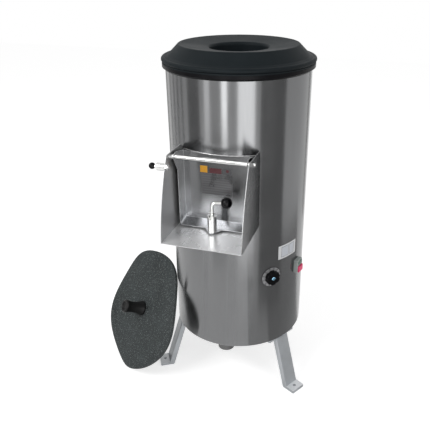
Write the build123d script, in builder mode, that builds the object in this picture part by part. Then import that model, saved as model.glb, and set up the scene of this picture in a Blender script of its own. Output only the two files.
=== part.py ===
from build123d import *
import math
import os

# Electric potato peeler: a stainless drum on three legs. Potatoes go in through the funnel
# lid, tumble on a wavy abrasive disc and leave through a hinged door over a chute.
# Millimetres. The origin is on the floor on the drum axis, +Z up, and the chute faces -Y.

# ------------------------------------------------------------------ clearances
seat_gap = 0.1            # between pieces that are pressed, bolted or welded together
run_gap = 0.3             # between curved faces that move past each other
shaft_gap = 0.05          # radial play of a shaft in its hole
float_gap = 0.5           # loose play of buttons and covers

# ------------------------------------------------------------------ drum and base
drum_radius = 200.0
drum_wall = 1.5
drum_height = 805.0
base_height = 175.0       # floor to the underside of the drum
base_thickness = 3.0
vent_count = 10
vent_length = 34.0
vent_width = 7.0
vent_circle = 112.0
drain_radius = 25.0
drain_wall = 2.5
drain_shift = 10.5        # drain right of the middle
drain_inset = 30.0        # drain inside the front of the drum
drain_drop = 22.0         # length of drain showing below the base
drain_ring_radius = 29.0
drain_ring_height = 3.0

# ------------------------------------------------------------------ legs
leg_azimuths = {"left": -150.0, "right": -30.0, "back": 90.0}
leg_width = 49.0
leg_depth = 18.0
leg_wall = 4.0
leg_inset = 4.0           # outside of the drum to the leg at the base
leg_splay = 51.0          # how much further out the leg stands on the floor
leg_edge_radius = 2.5
flange_thickness = 7.0
flange_setback = 1.5
flange_length = 43.0
flange_width = 108.0
pad_thickness = 9.5
pad_toe = 27.0            # how far the pad sticks out past the leg
foot_hole_setback = 10.0
foot_hole_radius = 5.0
leg_bolt_setback = 21.0
leg_bolt_half_width = 42.0
bolt_radius = 4.0         # M8
bolt_hole_gap = 0.5
bolt_head_radius = 7.2
bolt_head_height = 5.3
nut_height = 6.5
thread_over = 2.0         # thread showing past a nut

# ------------------------------------------------------------------ rim and lid
rim_overhang = 8.5        # rim outside the drum
rim_height = 14.5
rim_cap = 6.0             # rim thickness over the edge of the drum
rim_taper = 5.5
rim_edge = 1.0
rim_grip = 12.0           # how far the rim reaches down inside the drum
rim_inner_wall = 2.0
lid_seat_step = 0.5
lid_band_height = 3.5     # recessed band between rim and bead
lid_bead_radius = 6.5
lid_overhang = 10.5       # lid bead outside the drum
lid_crest_inset = 47.0
lid_crest_height = 48.0   # crest above the rim
lid_neck_inset = 18.5
lid_neck_height = 19.5
lid_hole_radius = 80.0
lid_hole_height = 37.5
lid_lip_depth = 32.0      # throat that leads the potatoes down
lid_hole_round = 8.0
lid_wall = 4.0
lid_skirt_depth = 27.0

# ------------------------------------------------------------------ peeling chamber
chamber_rise = 377.0      # chamber floor above the base
chamber_floor_thickness = 4.0
chamber_floor_rim = 8.0
housing_radius = 32.0
housing_length = 287.0
housing_rise = 10.0       # housing above the chamber floor
housing_flange_radius = 60.0
housing_flange_thickness = 8.0
housing_bolt_reach = 52.0
housing_bolt_radius = 3.0
housing_bolt_head = 5.0
bearing_radius = 26.0
bearing_width = 15.0
bearing_land = 4.0        # step that each bearing seats on
ring_thickness = 3.8
ball_count = 9
race_depth = 1.3          # how far the balls sink into each ring
bearing_inset = 1.0
upper_bearing_depth = 41.0
seal_height = 9.0
seal_wall = 3.0
shaft_radius = 12.5
shaft_rise = 30.0         # lower end of the shaft above the base
shaft_chamfer = 1.0
stud_radius = 8.0
stud_length = 28.0
hub_radius = 45.0
hub_skirt_wall = 8.0
hub_skirt_gap = 3.0
hub_gap = 9.0             # top of the hub above the housing
hub_plate = 7.5
drive_pin_radius = 5.0
drive_pin_reach = 30.0
drive_pin_height = 5.0
disc_gap = 2.5            # rim of the disc to the drum
disc_thickness = 8.0
wave_count = 4
wave_height = 7.3         # rise and fall of the rim
wave_grid = 22
handle_length = 68.0
handle_base_radius = 24.0
handle_waist_radius = 17.5
handle_waist_height = 40.0
handle_end_radius = 21.5
handle_foot = 5.0
handle_edge = 3.0
handle_dish_radius = 12.0
handle_bore_depth = 32.0

# ------------------------------------------------------------------ drive
pulley_height = 24.0
pulley_rise = 37.0        # pulleys above the base
pulley_gap = 6.0          # between the two pulleys
motor_pulley_radius = 24.0
pulley_lip = 1.0          # pulley rim above the back of the belt
pulley_rim = 14.0
pulley_web = 10.0
pulley_hub_radius = 23.0
belt_height = 8.0
belt_back_width = 13.0
belt_inner_width = 8.0
groove_gap = 0.4
motor_gap = 5.5           # motor to the drum
motor_radius = 60.0
motor_fin_height = 5.0
motor_fin_count = 16
motor_fin_width = 4.0
motor_rise = 83.0         # motor above the base
motor_height = 180.0
motor_end_wall = 14.0
motor_fin_margin = 26.0
rotor_radius = 32.0
motor_shaft_radius = 9.5
motor_shaft_below = 50.0
motor_bolt_reach = 50.0
motor_bolt_depth = 8.0
motor_bolt_grip = 7.0
motor_box_size = (70.0, 50.0)
motor_box_height = 22.0
motor_box_corner = 4.0
motor_plate_thickness = 6.0
motor_plate_back = 70.0
motor_boss_radius = 26.0
plate_shaft_radius = 20.0

# ------------------------------------------------------------------ chute and door
chute_half_width = 106.5
chute_wall = 1.5
chute_length = 138.0      # tray in front of the drum
tray_step = 1.9           # tray above the disc
cheek_rise = 12.0         # cheeks above the hinge
cheek_front_top = 30.0    # cheeks in front of the hinge, at the top
cheek_front_middle = 67.0
cheek_middle_rise = 125.0
cheek_corner = 12.0
mouth_margin = 2.5
mouth_drop = 1.5          # top of the mouth below the hinge
hinge_distance = 45.0     # hinge in front of the drum
hinge_rise = 203.0        # hinge above the tray
hinge_rod_radius = 4.0
hinge_tube_radius = 6.0
hinge_nut_radius = 6.5
hinge_nut_length = 8.0
hinge_nut_crown = 2.0
hinge_crown_radius = 5.0
door_side_gap = 9.0
door_wall = 1.5
door_plate_setback = 55.0 # front of the plate behind the hinge
door_rim_setback = 14.0
door_lift = 4.0           # door above the tray
door_back_rise = 6.0      # the back of the door's floor clears the tray as it swings
door_rim_drop = 42.0
door_ear_radius = 11.0
door_top_rise = 1.0       # corners of the plate above the hinge
door_top_dip = 6.0        # middle of the plate below its corners
door_corner = 8.0
lug_length = 27.5
lug_half_width = 13.0
lug_root = 36.0
lug_lap = 4.0
lug_shoulder = 18.0
latch_distance = 15.0     # latch in front of the door's rim
latch_radius = 4.5
latch_sleeve_radius = 12.0
latch_sleeve_height = 45.5
latch_collar_radius = 13.0 # collar round the top of the sleeve
latch_collar_height = 3.0
latch_notch_width = 13.0  # notch across the top of the sleeve
latch_notch_depth = 10.0
latch_tip_gap = 0.5       # tip of the latch above the tray
latch_elbow_rise = 83.0   # arm of the latch above the bottom of the door
latch_elbow_radius = 10.0
latch_arm = 38.5
latch_arm_angle = 15.0
latch_ball_radius = 15.0
latch_pin_radius = 1.5
latch_pin_length = 14.0
latch_drop = 6.3          # travel from rest down to the keeper hole
keeper_gap = 1.5
washer_radius = 7.5
washer_thickness = 1.2
plunger_forward = 37.0    # plunger in front of the hinge
plunger_drop = 16.0       # plunger below the hinge
plunger_radius = 4.0
plunger_sleeve_gap = 2.0  # spring to the inside of the sleeve
plunger_sleeve_length = 22.0
plunger_neck_radius = 5.5
plunger_nut_radius = 8.0
plunger_nut_height = 4.0
plunger_tip_gap = 1.0     # tip to the side of the door
plunger_ball_radius = 8.5
plunger_ball_gap = 5.0
plunger_pull = 4.0        # outward travel of the pin
collar_width = 2.0
sleeve_cap = 3.0
collar_back = 7.0         # outside of the cheek to the collar on the pin
plunger_sleeve_wall = 2.0
plunger_sleeve_edge = 1.0
plunger_tip_edge = 1.5
spring_wire = 1.2
spring_radius = 6.0
spring_turns = 4
sheet_patch = 0.6         # thickness of the plates fixed on the door and drum
plate_corner = 2.0
door_plate_size = (88.0, 60.0)
door_plate_shift = 5.0    # plate left of the middle
patch_drop = 32.5         # patches below the top of the door
patch_row_gap = 1.0
patch_sizes = {"left": (-40.0, 20.0, 18.5), "middle": (-7.5, 33.0, 14.0), "right": (25.5, 23.0, 15.0)}

# ------------------------------------------------------------------ controls
timer_azimuth = -45.4
timer_rise = 233.0        # timer above the base
timer_neck_radius = 7.0
timer_box_size = 44.0
timer_box_depth = 38.0
timer_box_corner = 3.0
timer_spindle_radius = 3.0
timer_spindle_length = 13.0
dial_radius = 31.5
dial_thickness = 0.8
knob_radius = 22.0
knob_height = 12.0
knob_lobes = 6
knob_scallop_radius = 5.0
knob_edge = 1.5
switch_azimuth = -14.0
switch_rise = 230.5
switch_size = (32.0, 42.0)
switch_depth = 12.0
switch_sink = 4.0         # sides reach back past the curve of the drum
switch_corner = 4.0
switch_edge = 2.0
start_size = (20.0, 12.0)
start_rise = 11.0
start_protrusion = 3.0
stop_size = (25.0, 19.0)
stop_drop = 8.5
stop_protrusion = 5.0
button_travel = 3.0
button_edge = 1.5
contact_size = (27.0, 36.0)
contact_setback = 1.0     # contacts sit back from the outside of the drum
contact_depth = 26.0
label_azimuth = -28.7
label_rise = 303.5
label_size = (73.0, 43.0)

# ------------------------------------------------------------------ services at the back
inlet_azimuth = 90.0
inlet_drop = 75.0         # inlet below the top of the drum
inlet_radius = 10.5
inlet_bore = 7.5
inlet_length = 42.0
inlet_inside = 24.0
inlet_flange_radius = 17.0
inlet_flange_thickness = 4.0
gland_azimuth = 125.0
gland_rise = 50.0
gland_radius = 8.0
gland_bore = 4.5
gland_entry_radius = 6.0  # wider bore inside the drum
gland_hex_radius = 13.0
gland_cap_radius = 10.0
gland_inside = 10.0
gland_seat = 2.0          # outside of the drum to the step in the bore
gland_hex_height = 8.0
gland_cap_height = 14.0
gland_cap_taper = 6.0

# ------------------------------------------------------------------ spare disc leaning outside
lean_direction = 197.6    # from the drum axis to the middle of the disc
lean_facing = 229.2       # way the abrasive face looks
lean_tilt = 28.3          # upward tilt of the abrasive face
lean_roll = 31.9          # turn of the waves about the disc's own axis
lean_start = 130.0        # first try at the gap between the drum and the middle of the disc
lean_steps = 4


# ------------------------------------------------------------------ planes and shared shapes
def radial_plane(azimuth, radius, height):
    """Plane facing away from the drum axis, local x level and local y up."""
    angle = math.radians(azimuth)
    outward = (math.cos(angle), math.sin(angle), 0)
    origin = (radius * outward[0], radius * outward[1], height)
    return Plane(origin=origin, x_dir=(-outward[1], outward[0], 0), z_dir=outward)


def polar_point(azimuth, reach, offset=0.0):
    """Point at a reach along an azimuth and an offset square to it."""
    angle = math.radians(azimuth)
    x = reach * math.cos(angle) - offset * math.sin(angle)
    y = reach * math.sin(angle) + offset * math.cos(angle)
    return (x, y)


def half_chord(radius, offset):
    return math.sqrt(radius**2 - offset**2)


# ------------------------------------------------------------------ places that follow from the sizes
drum_top = base_height + drum_height
drum_inner = drum_radius - drum_wall
base_top = base_height + base_thickness
rim_top = drum_top + rim_cap
rim_radius = drum_radius + rim_overhang
lid_seat_radius = rim_radius - lid_seat_step
lid_radius = drum_radius + lid_overhang
lid_crest_radius = lid_radius - lid_crest_inset
lid_neck_radius = lid_radius - lid_neck_inset

leg_top_reach = drum_radius - leg_inset
leg_foot_reach = leg_top_reach + leg_splay
flange_outer = leg_top_reach - flange_setback
flange_inner = flange_outer - flange_length
leg_bolt_reach = flange_outer - leg_bolt_setback
pad_reach = leg_foot_reach + pad_toe
foot_hole_reach = leg_foot_reach + foot_hole_setback

chamber_floor_height = base_height + chamber_rise
housing_top = chamber_floor_height + housing_rise
housing_bottom = housing_top - housing_length
bearing_land_radius = bearing_radius - bearing_land
race_gap_inner = shaft_radius + ring_thickness
race_gap_outer = bearing_radius - ring_thickness
shaft_bottom = base_height + shaft_rise
hub_top = housing_top + hub_gap
hub_skirt_bottom = chamber_floor_height + hub_skirt_gap
hub_skirt_radius = hub_radius - hub_skirt_wall
disc_radius = drum_inner - disc_gap
drain_place = (drain_shift, drain_inset - drum_radius)

motor_fin_radius = motor_radius + motor_fin_height
motor_offset = drum_inner - motor_gap - motor_fin_radius
driven_pulley_radius = motor_offset - motor_pulley_radius - pulley_gap
driven_pulley_bottom = base_height + pulley_rise
motor_bottom = base_height + motor_rise

tray_height = hub_top + seat_gap + disc_thickness + tray_step
chute_reach = drum_radius + chute_length
hinge_reach = drum_radius + hinge_distance
hinge_height = tray_height + hinge_rise
mouth_top = hinge_height - mouth_drop
cheek_top = hinge_height + cheek_rise
door_half_width = chute_half_width - door_side_gap
door_plate_reach = hinge_reach - door_plate_setback
door_rim_reach = hinge_reach - door_rim_setback
door_bottom = tray_height + door_lift
door_rim_top = hinge_height - door_rim_drop
door_side_top = hinge_height + door_top_rise
door_middle_top = door_side_top - door_top_dip
latch_reach = door_rim_reach + latch_distance
latch_tip = tray_height + latch_tip_gap
latch_elbow_height = door_bottom + latch_elbow_rise
plunger_place = (hinge_reach + plunger_forward, hinge_height - plunger_drop)
plunger_sleeve_radius = spring_radius + plunger_sleeve_gap + plunger_sleeve_wall

timer_height = base_height + timer_rise
switch_height = base_height + switch_rise
label_height = base_height + label_rise
inlet_height = drum_top - inlet_drop
gland_height = base_height + gland_rise
leg_bolts_at = [
    polar_point(azimuth, leg_bolt_reach, side * leg_bolt_half_width)
    for azimuth in leg_azimuths.values()
    for side in (-1, 1)
]
motor_place = (0.0, motor_offset)

# ------------------------------------------------------------------ drum
mouth_half_width = chute_half_width - mouth_margin
timer_plane = radial_plane(timer_azimuth, drum_radius, timer_height)
switch_plane = radial_plane(switch_azimuth, drum_radius, switch_height)
inlet_plane = radial_plane(inlet_azimuth, drum_radius, inlet_height)
gland_plane = radial_plane(gland_azimuth, drum_radius, gland_height)
shell_cut = 20.0

with BuildPart() as drum_shell:
    with BuildSketch(Plane.XY.offset(base_height)):
        Circle(drum_radius)
        Circle(drum_inner, mode=Mode.SUBTRACT)
    extrude(amount=drum_height)
    with BuildSketch(Plane.XZ):
        with Locations((0, (tray_height + mouth_top) / 2)):
            Rectangle(2 * mouth_half_width, mouth_top - tray_height)
    extrude(amount=drum_radius + shell_cut, mode=Mode.SUBTRACT)
    with BuildSketch(timer_plane):
        Circle(timer_neck_radius + seat_gap)
    extrude(amount=shell_cut, both=True, mode=Mode.SUBTRACT)
    with BuildSketch(switch_plane):
        Rectangle(contact_size[0] + 2 * float_gap, contact_size[1] + 2 * float_gap)
    extrude(amount=shell_cut, both=True, mode=Mode.SUBTRACT)
    with BuildSketch(inlet_plane):
        Circle(inlet_radius + seat_gap)
    extrude(amount=shell_cut, both=True, mode=Mode.SUBTRACT)
    with BuildSketch(gland_plane):
        Circle(gland_radius + seat_gap)
    extrude(amount=shell_cut, both=True, mode=Mode.SUBTRACT)

with BuildPart() as base_plate:
    with BuildSketch(Plane.XY.offset(base_height)):
        Circle(drum_inner - seat_gap)
        with Locations(drain_place):
            Circle(drain_radius + seat_gap, mode=Mode.SUBTRACT)
        with Locations(*leg_bolts_at):
            Circle(bolt_radius + bolt_hole_gap, mode=Mode.SUBTRACT)
        with PolarLocations(vent_circle, vent_count):
            SlotOverall(vent_length, vent_width, mode=Mode.SUBTRACT)
    extrude(amount=base_thickness)

# A channel trim folded over the drum's top edge.
with BuildPart() as rim_collar:
    with BuildSketch(Plane.XZ):
        with BuildLine():
            Polyline(
                (drum_radius + seat_gap, rim_top - rim_height),
                (drum_radius + seat_gap + rim_edge, rim_top - rim_height),
                (rim_radius, rim_top - rim_height + rim_taper),
                (rim_radius, rim_top),
                (drum_inner - seat_gap - rim_inner_wall, rim_top),
                (drum_inner - seat_gap - rim_inner_wall, drum_top - rim_grip),
                (drum_inner - seat_gap, drum_top - rim_grip),
                (drum_inner - seat_gap, drum_top),
                (drum_radius + seat_gap, drum_top),
                close=True,
            )
        make_face()
    revolve(axis=Axis.Z)

# ------------------------------------------------------------------ lid
lid_bead_centre = lid_radius - lid_bead_radius
lid_bead_height = rim_top + lid_band_height + lid_bead_radius
skirt_radius = drum_inner - seat_gap - rim_inner_wall - float_gap
hole_top = rim_top + lid_hole_height

with BuildPart() as lid:
    with BuildSketch(Plane.XZ):
        with BuildLine():
            Polyline(
                (lid_hole_radius, hole_top - lid_lip_depth),
                (lid_hole_radius, hole_top),
                (lid_crest_radius, rim_top + lid_crest_height),
                (lid_neck_radius, rim_top + lid_neck_height),
                (lid_bead_centre, lid_bead_height + lid_bead_radius / 2),
                (lid_bead_centre, rim_top + lid_band_height),
                (lid_seat_radius, rim_top + lid_band_height),
                (lid_seat_radius, rim_top),
                (skirt_radius, rim_top),
                (skirt_radius, rim_top - lid_skirt_depth),
                (skirt_radius - lid_wall, rim_top - lid_skirt_depth),
                (skirt_radius - lid_wall, rim_top + lid_band_height),
                (lid_neck_radius - lid_wall, rim_top + lid_neck_height - lid_wall),
                (lid_crest_radius - lid_wall / 2, rim_top + lid_crest_height - lid_wall),
                (lid_hole_radius + lid_wall, hole_top - lid_wall),
                (lid_hole_radius + lid_wall, hole_top - lid_lip_depth),
                close=True,
            )
        make_face()
        with Locations((lid_bead_centre, lid_bead_height)):
            Circle(lid_bead_radius)
    revolve(axis=Axis.Z)
    circles = lid.edges().filter_by(GeomType.CIRCLE)
    hole_edge = circles.filter_by_position(Axis.Z, hole_top - seat_gap, hole_top + seat_gap)
    fillet(hole_edge, radius=lid_hole_round)
    circles = lid.edges().filter_by(GeomType.CIRCLE)
    fillet(circles.group_by(Axis.Z)[-1], radius=lid_wall)

# ------------------------------------------------------------------ legs
legs = {}
for side, azimuth in leg_azimuths.items():
    angle = math.radians(azimuth)
    along = (math.cos(angle), math.sin(angle), 0)
    across = (along[1], -along[0], 0)
    leg_side = Plane(origin=(0, 0, 0), x_dir=along, z_dir=across)
    leg_floor = Plane(origin=(0, 0, 0), x_dir=along, z_dir=(0, 0, 1))
    leg_top = base_height - flange_thickness
    slant = Vector(*along) * (leg_foot_reach - leg_top_reach) - Vector(0, 0, leg_top)
    pad_inner = leg_foot_reach - leg_depth + leg_wall
    with BuildPart() as leg:
        with BuildSketch(leg_side):
            with BuildLine():
                Polyline(
                    (leg_top_reach - leg_depth, leg_top),
                    (leg_top_reach, leg_top),
                    (leg_foot_reach, 0),
                    (leg_foot_reach - leg_depth, 0),
                    close=True,
                )
            make_face()
        extrude(amount=leg_width / 2, both=True)
        fillet(leg.edges().filter_by(Axis((0, 0, 0), slant)), radius=leg_edge_radius)
        with BuildSketch(leg_side):
            with BuildLine():
                Polyline(
                    (leg_top_reach - leg_depth - leg_wall, leg_top),
                    (leg_top_reach - leg_wall, leg_top),
                    (leg_foot_reach - leg_wall, 0),
                    (leg_foot_reach - leg_depth - leg_wall, 0),
                    close=True,
                )
            make_face()
        extrude(amount=leg_width / 2 - leg_wall, both=True, mode=Mode.SUBTRACT)
        with BuildSketch(leg_floor.offset(leg_top)):
            with Locations(((flange_inner + flange_outer) / 2, 0)):
                RectangleRounded(flange_outer - flange_inner, flange_width, leg_wall)
            with Locations((leg_bolt_reach, -leg_bolt_half_width), (leg_bolt_reach, leg_bolt_half_width)):
                Circle(bolt_radius + bolt_hole_gap, mode=Mode.SUBTRACT)
        extrude(amount=flange_thickness)
        with BuildSketch(leg_floor):
            with Locations(((pad_inner + pad_reach) / 2, 0)):
                RectangleRounded(pad_reach - pad_inner, leg_width, leg_edge_radius)
            with Locations((foot_hole_reach, 0)):
                Circle(foot_hole_radius, mode=Mode.SUBTRACT)
        extrude(amount=pad_thickness)
    legs["leg_" + side] = leg

bolt_head_bottom = base_height - flange_thickness - bolt_head_height
with BuildPart() as leg_fasteners:
    with BuildSketch(Plane.XY.offset(bolt_head_bottom)):
        with Locations(*leg_bolts_at):
            RegularPolygon(bolt_head_radius, 6)
    extrude(amount=bolt_head_height)
    with BuildSketch(Plane.XY.offset(base_height - flange_thickness)):
        with Locations(*leg_bolts_at):
            Circle(bolt_radius)
    extrude(amount=flange_thickness + base_thickness + nut_height + thread_over)
    with BuildSketch(Plane.XY.offset(base_top)):
        with Locations(*leg_bolts_at):
            RegularPolygon(bolt_head_radius, 6)
            Circle(bolt_radius + seat_gap, mode=Mode.SUBTRACT)
    extrude(amount=nut_height)

# ------------------------------------------------------------------ chamber floor and drain
floor_bottom = chamber_floor_height - chamber_floor_thickness
housing_bolts_at = [polar_point(45.0 + 90.0 * step, housing_bolt_reach) for step in range(4)]

with BuildPart() as chamber_floor:
    with BuildSketch(Plane.XY.offset(floor_bottom)):
        Circle(drum_inner - seat_gap)
        Circle(housing_radius + seat_gap, mode=Mode.SUBTRACT)
        with Locations(drain_place):
            Circle(drain_radius + seat_gap, mode=Mode.SUBTRACT)
        with Locations(*housing_bolts_at):
            Circle(housing_bolt_radius + seat_gap, mode=Mode.SUBTRACT)
    extrude(amount=chamber_floor_thickness)
    with BuildSketch(Plane.XY.offset(chamber_floor_height)):
        Circle(drum_inner - seat_gap)
        Circle(drum_inner - seat_gap - drum_wall, mode=Mode.SUBTRACT)
    extrude(amount=chamber_floor_rim)

with BuildPart() as drain_pipe:
    with BuildSketch(Plane.XY.offset(base_height - drain_drop)):
        with Locations(drain_place):
            Circle(drain_radius)
            Circle(drain_radius - drain_wall, mode=Mode.SUBTRACT)
    extrude(amount=chamber_floor_height - base_height + drain_drop)
    with BuildSketch(Plane.XY.offset(base_height)):
        with Locations(drain_place):
            Circle(drain_ring_radius)
            Circle(drain_radius - drain_wall, mode=Mode.SUBTRACT)
    extrude(amount=-drain_ring_height)

# ------------------------------------------------------------------ spindle
upper_bearing_bottom = housing_top - upper_bearing_depth
lower_bearing_bottom = housing_bottom + bearing_inset
seal_bottom = housing_top - seal_height - bearing_inset

with BuildPart() as bearing_housing:
    with BuildSketch(Plane.XZ):
        with BuildLine():
            Polyline(
                (housing_radius, housing_bottom),
                (housing_radius, floor_bottom - housing_flange_thickness),
                (housing_flange_radius, floor_bottom - housing_flange_thickness),
                (housing_flange_radius, floor_bottom),
                (housing_radius, floor_bottom),
                (housing_radius, housing_top),
                (bearing_radius, housing_top),
                (bearing_radius, upper_bearing_bottom),
                (bearing_land_radius, upper_bearing_bottom),
                (bearing_land_radius, lower_bearing_bottom + bearing_width),
                (bearing_radius, lower_bearing_bottom + bearing_width),
                (bearing_radius, housing_bottom),
                close=True,
            )
        make_face()
    revolve(axis=Axis.Z)
    with BuildSketch(Plane.XY.offset(floor_bottom)):
        with Locations(*housing_bolts_at):
            Circle(housing_bolt_radius + seat_gap)
    extrude(amount=-housing_flange_thickness, mode=Mode.SUBTRACT)

housing_nut_bottom = floor_bottom - housing_flange_thickness - housing_bolt_head
with BuildPart() as housing_bolts:
    with BuildSketch(Plane.XY.offset(chamber_floor_height)):
        with Locations(*housing_bolts_at):
            Circle(housing_bolt_head)
    extrude(amount=housing_bolt_radius)
    with BuildSketch(Plane.XY.offset(housing_nut_bottom)):
        with Locations(*housing_bolts_at):
            RegularPolygon(housing_bolt_head, 6)
    extrude(amount=housing_bolt_head)
    with BuildSketch(Plane.XY.offset(housing_nut_bottom)):
        with Locations(*housing_bolts_at):
            Circle(housing_bolt_radius)
    extrude(amount=chamber_floor_height - housing_nut_bottom)

ball_circle = (race_gap_inner + race_gap_outer) / 2
race_radius = (race_gap_outer - race_gap_inner) / 2 + race_depth
ball_radius = race_radius - run_gap
bearing_middles = [bottom + bearing_width / 2 for bottom in (lower_bearing_bottom, upper_bearing_bottom)]

with BuildPart() as bearing_outer_rings:
    for middle in bearing_middles:
        with BuildSketch(Plane.XZ):
            with Locations(((race_gap_outer + bearing_radius - shaft_gap) / 2, middle)):
                Rectangle(bearing_radius - shaft_gap - race_gap_outer, bearing_width)
            with Locations((ball_circle, middle)):
                Circle(race_radius, mode=Mode.SUBTRACT)
        revolve(axis=Axis.Z)

with BuildPart() as bearing_inner_rings:
    for middle in bearing_middles:
        with BuildSketch(Plane.XZ):
            with Locations(((race_gap_inner + shaft_radius + shaft_gap) / 2, middle)):
                Rectangle(race_gap_inner - shaft_radius - shaft_gap, bearing_width)
            with Locations((ball_circle, middle)):
                Circle(race_radius, mode=Mode.SUBTRACT)
        revolve(axis=Axis.Z)

with BuildPart() as bearing_balls:
    for middle in bearing_middles:
        with Locations(Location((0, 0, middle))):
            with PolarLocations(ball_circle, ball_count):
                Sphere(ball_radius)

with BuildPart() as shaft_seal:
    with BuildSketch(Plane.XY.offset(seal_bottom)):
        Circle(bearing_radius - shaft_gap)
        Circle(shaft_radius + shaft_gap, mode=Mode.SUBTRACT)
    extrude(amount=seal_height)
    with BuildSketch(Plane.XY.offset(seal_bottom)):
        Circle(bearing_radius - seal_wall)
        Circle(shaft_radius + seal_wall, mode=Mode.SUBTRACT)
    extrude(amount=seal_height - seal_wall, mode=Mode.SUBTRACT)

with BuildPart() as main_shaft:
    with BuildSketch(Plane.XY.offset(shaft_bottom)):
        Circle(shaft_radius)
    extrude(amount=hub_top - shaft_bottom)
    with BuildSketch(Plane.XY.offset(hub_top)):
        Circle(stud_radius)
    extrude(amount=stud_length)
    ends = main_shaft.faces().sort_by(Axis.Z)
    chamfer(ends[0].edges() + ends[-1].edges(), length=shaft_chamfer)

with BuildPart() as drive_hub:
    with BuildSketch(Plane.XZ):
        with BuildLine():
            Polyline(
                (shaft_radius + shaft_gap, hub_top - hub_plate),
                (hub_skirt_radius, hub_top - hub_plate),
                (hub_skirt_radius, hub_skirt_bottom),
                (hub_radius, hub_skirt_bottom),
                (hub_radius, hub_top),
                (shaft_radius + shaft_gap, hub_top),
                close=True,
            )
        make_face()
    revolve(axis=Axis.Z)
    with BuildSketch(Plane.XY.offset(hub_top)):
        with PolarLocations(drive_pin_reach, 2):
            Circle(drive_pin_radius)
    extrude(amount=drive_pin_height)


# ------------------------------------------------------------------ abrasive discs and handles
def wave(x, y):
    """Height of the wavy face, level in the middle and rising and falling round the rim."""
    reach = math.hypot(x, y) / disc_radius
    return wave_height * reach**wave_count * math.cos(wave_count * math.atan2(y, x))


def build_disc(plane):
    """Wavy abrasive disc whose underside lies on the plane, with its stud and pin holes."""
    step = 2.1 * disc_radius / (wave_grid - 1)
    lines = [(index - (wave_grid - 1) / 2) * step for index in range(wave_grid)]
    points = [[plane.from_local_coords(Vector(x, y, wave(x, y))) for y in lines] for x in lines]
    underside = Face.make_surface_from_array_of_points(points)
    with BuildPart() as disc:
        extrude(to_extrude=underside, amount=disc_thickness, dir=plane.z_dir)
        with BuildSketch(plane.offset(-3 * wave_height)):
            Circle(disc_radius)
            Circle(stud_radius + seat_gap, mode=Mode.SUBTRACT)
            with PolarLocations(drive_pin_reach, 2):
                Circle(drive_pin_radius + seat_gap, mode=Mode.SUBTRACT)
        extrude(amount=6 * wave_height + disc_thickness, mode=Mode.INTERSECT)
    return disc


def build_handle(plane):
    """Waisted black grip screwed on the stud in the middle of a disc."""
    profile = Plane(origin=plane.origin, x_dir=plane.x_dir, z_dir=-plane.y_dir)
    with BuildPart() as handle:
        with BuildSketch(profile):
            with BuildLine():
                Polyline(
                    (stud_radius + seat_gap, 0),
                    (handle_base_radius, 0),
                    (handle_base_radius, handle_foot),
                )
                Spline(
                    (handle_base_radius, handle_foot),
                    (handle_waist_radius, handle_waist_height),
                    (handle_end_radius, handle_length - handle_edge),
                )
                Polyline(
                    (handle_end_radius, handle_length - handle_edge),
                    (handle_end_radius - handle_edge, handle_length),
                    (handle_dish_radius + handle_edge, handle_length),
                    (handle_dish_radius, handle_length - handle_edge),
                    (0, handle_length - handle_edge),
                    (0, handle_bore_depth),
                    (stud_radius + seat_gap, handle_bore_depth),
                    (stud_radius + seat_gap, 0),
                )
            make_face()
        revolve(axis=Axis(plane.origin, plane.z_dir))
    return handle


disc_seat = Plane.XY.offset(hub_top + seat_gap)
abrasive_disc = build_disc(disc_seat)
disc_handle = build_handle(disc_seat.offset(disc_thickness))

# The spare disc stands on its lower edge and leans on the drum.
facing = math.radians(lean_facing)
tilt = math.radians(lean_tilt)
lean_normal = Vector(
    math.cos(facing) * math.cos(tilt), math.sin(facing) * math.cos(tilt), math.sin(tilt)
)
level_line = Vector(-math.sin(facing), math.cos(facing), 0)
lean_x = level_line.rotate(Axis((0, 0, 0), lean_normal), lean_roll)
lean_plane = Plane(origin=(0, 0, 0), x_dir=lean_x, z_dir=lean_normal)
lean_height = -build_disc(lean_plane).part.bounding_box().min.Z
lean_distance = drum_radius + lean_start
drum_body = Solid.make_cylinder(drum_radius, drum_height, Plane.XY.offset(base_height))
for _ in range(lean_steps):
    place = polar_point(lean_direction, lean_distance)
    lean_plane = Plane(origin=(*place, lean_height), x_dir=lean_x, z_dir=lean_normal)
    spare_disc = build_disc(lean_plane)
    lean_distance -= spare_disc.part.distance_to(drum_body) - run_gap
spare_disc_handle = build_handle(lean_plane.offset(disc_thickness))

# ------------------------------------------------------------------ belt drive
pulley_middle = driven_pulley_bottom + pulley_height / 2


def build_pulley(place, radius, bore, web):
    """V-belt pulley, with a thin web between rim and hub where there is room for one."""
    back = radius - pulley_lip
    root = back - belt_height - groove_gap
    slope = (belt_back_width - belt_inner_width) / 2 / belt_height
    top_half = belt_back_width / 2 + groove_gap + slope * pulley_lip
    root_half = belt_inner_width / 2 + groove_gap - slope * groove_gap
    origin = (*place, pulley_middle)
    with BuildPart() as pulley:
        with BuildSketch(Plane(origin=origin, x_dir=(1, 0, 0), z_dir=(0, -1, 0))):
            with BuildLine():
                Polyline(
                    (bore, -pulley_height / 2),
                    (radius, -pulley_height / 2),
                    (radius, -top_half),
                    (root, -root_half),
                    (root, root_half),
                    (radius, top_half),
                    (radius, pulley_height / 2),
                    (bore, pulley_height / 2),
                    close=True,
                )
            make_face()
        revolve(axis=Axis(origin, (0, 0, 1)))
        if web:
            for side in (-1, 1):
                with BuildSketch(Plane.XY.offset(pulley_middle + side * pulley_web / 2)):
                    with Locations(place):
                        Circle(radius - pulley_rim)
                        Circle(pulley_hub_radius, mode=Mode.SUBTRACT)
                extrude(amount=side * pulley_height, mode=Mode.SUBTRACT)
    return pulley


driven_pulley = build_pulley((0, 0), driven_pulley_radius, shaft_radius + shaft_gap, True)
motor_pulley = build_pulley(motor_place, motor_pulley_radius, motor_shaft_radius + shaft_gap, False)

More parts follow.
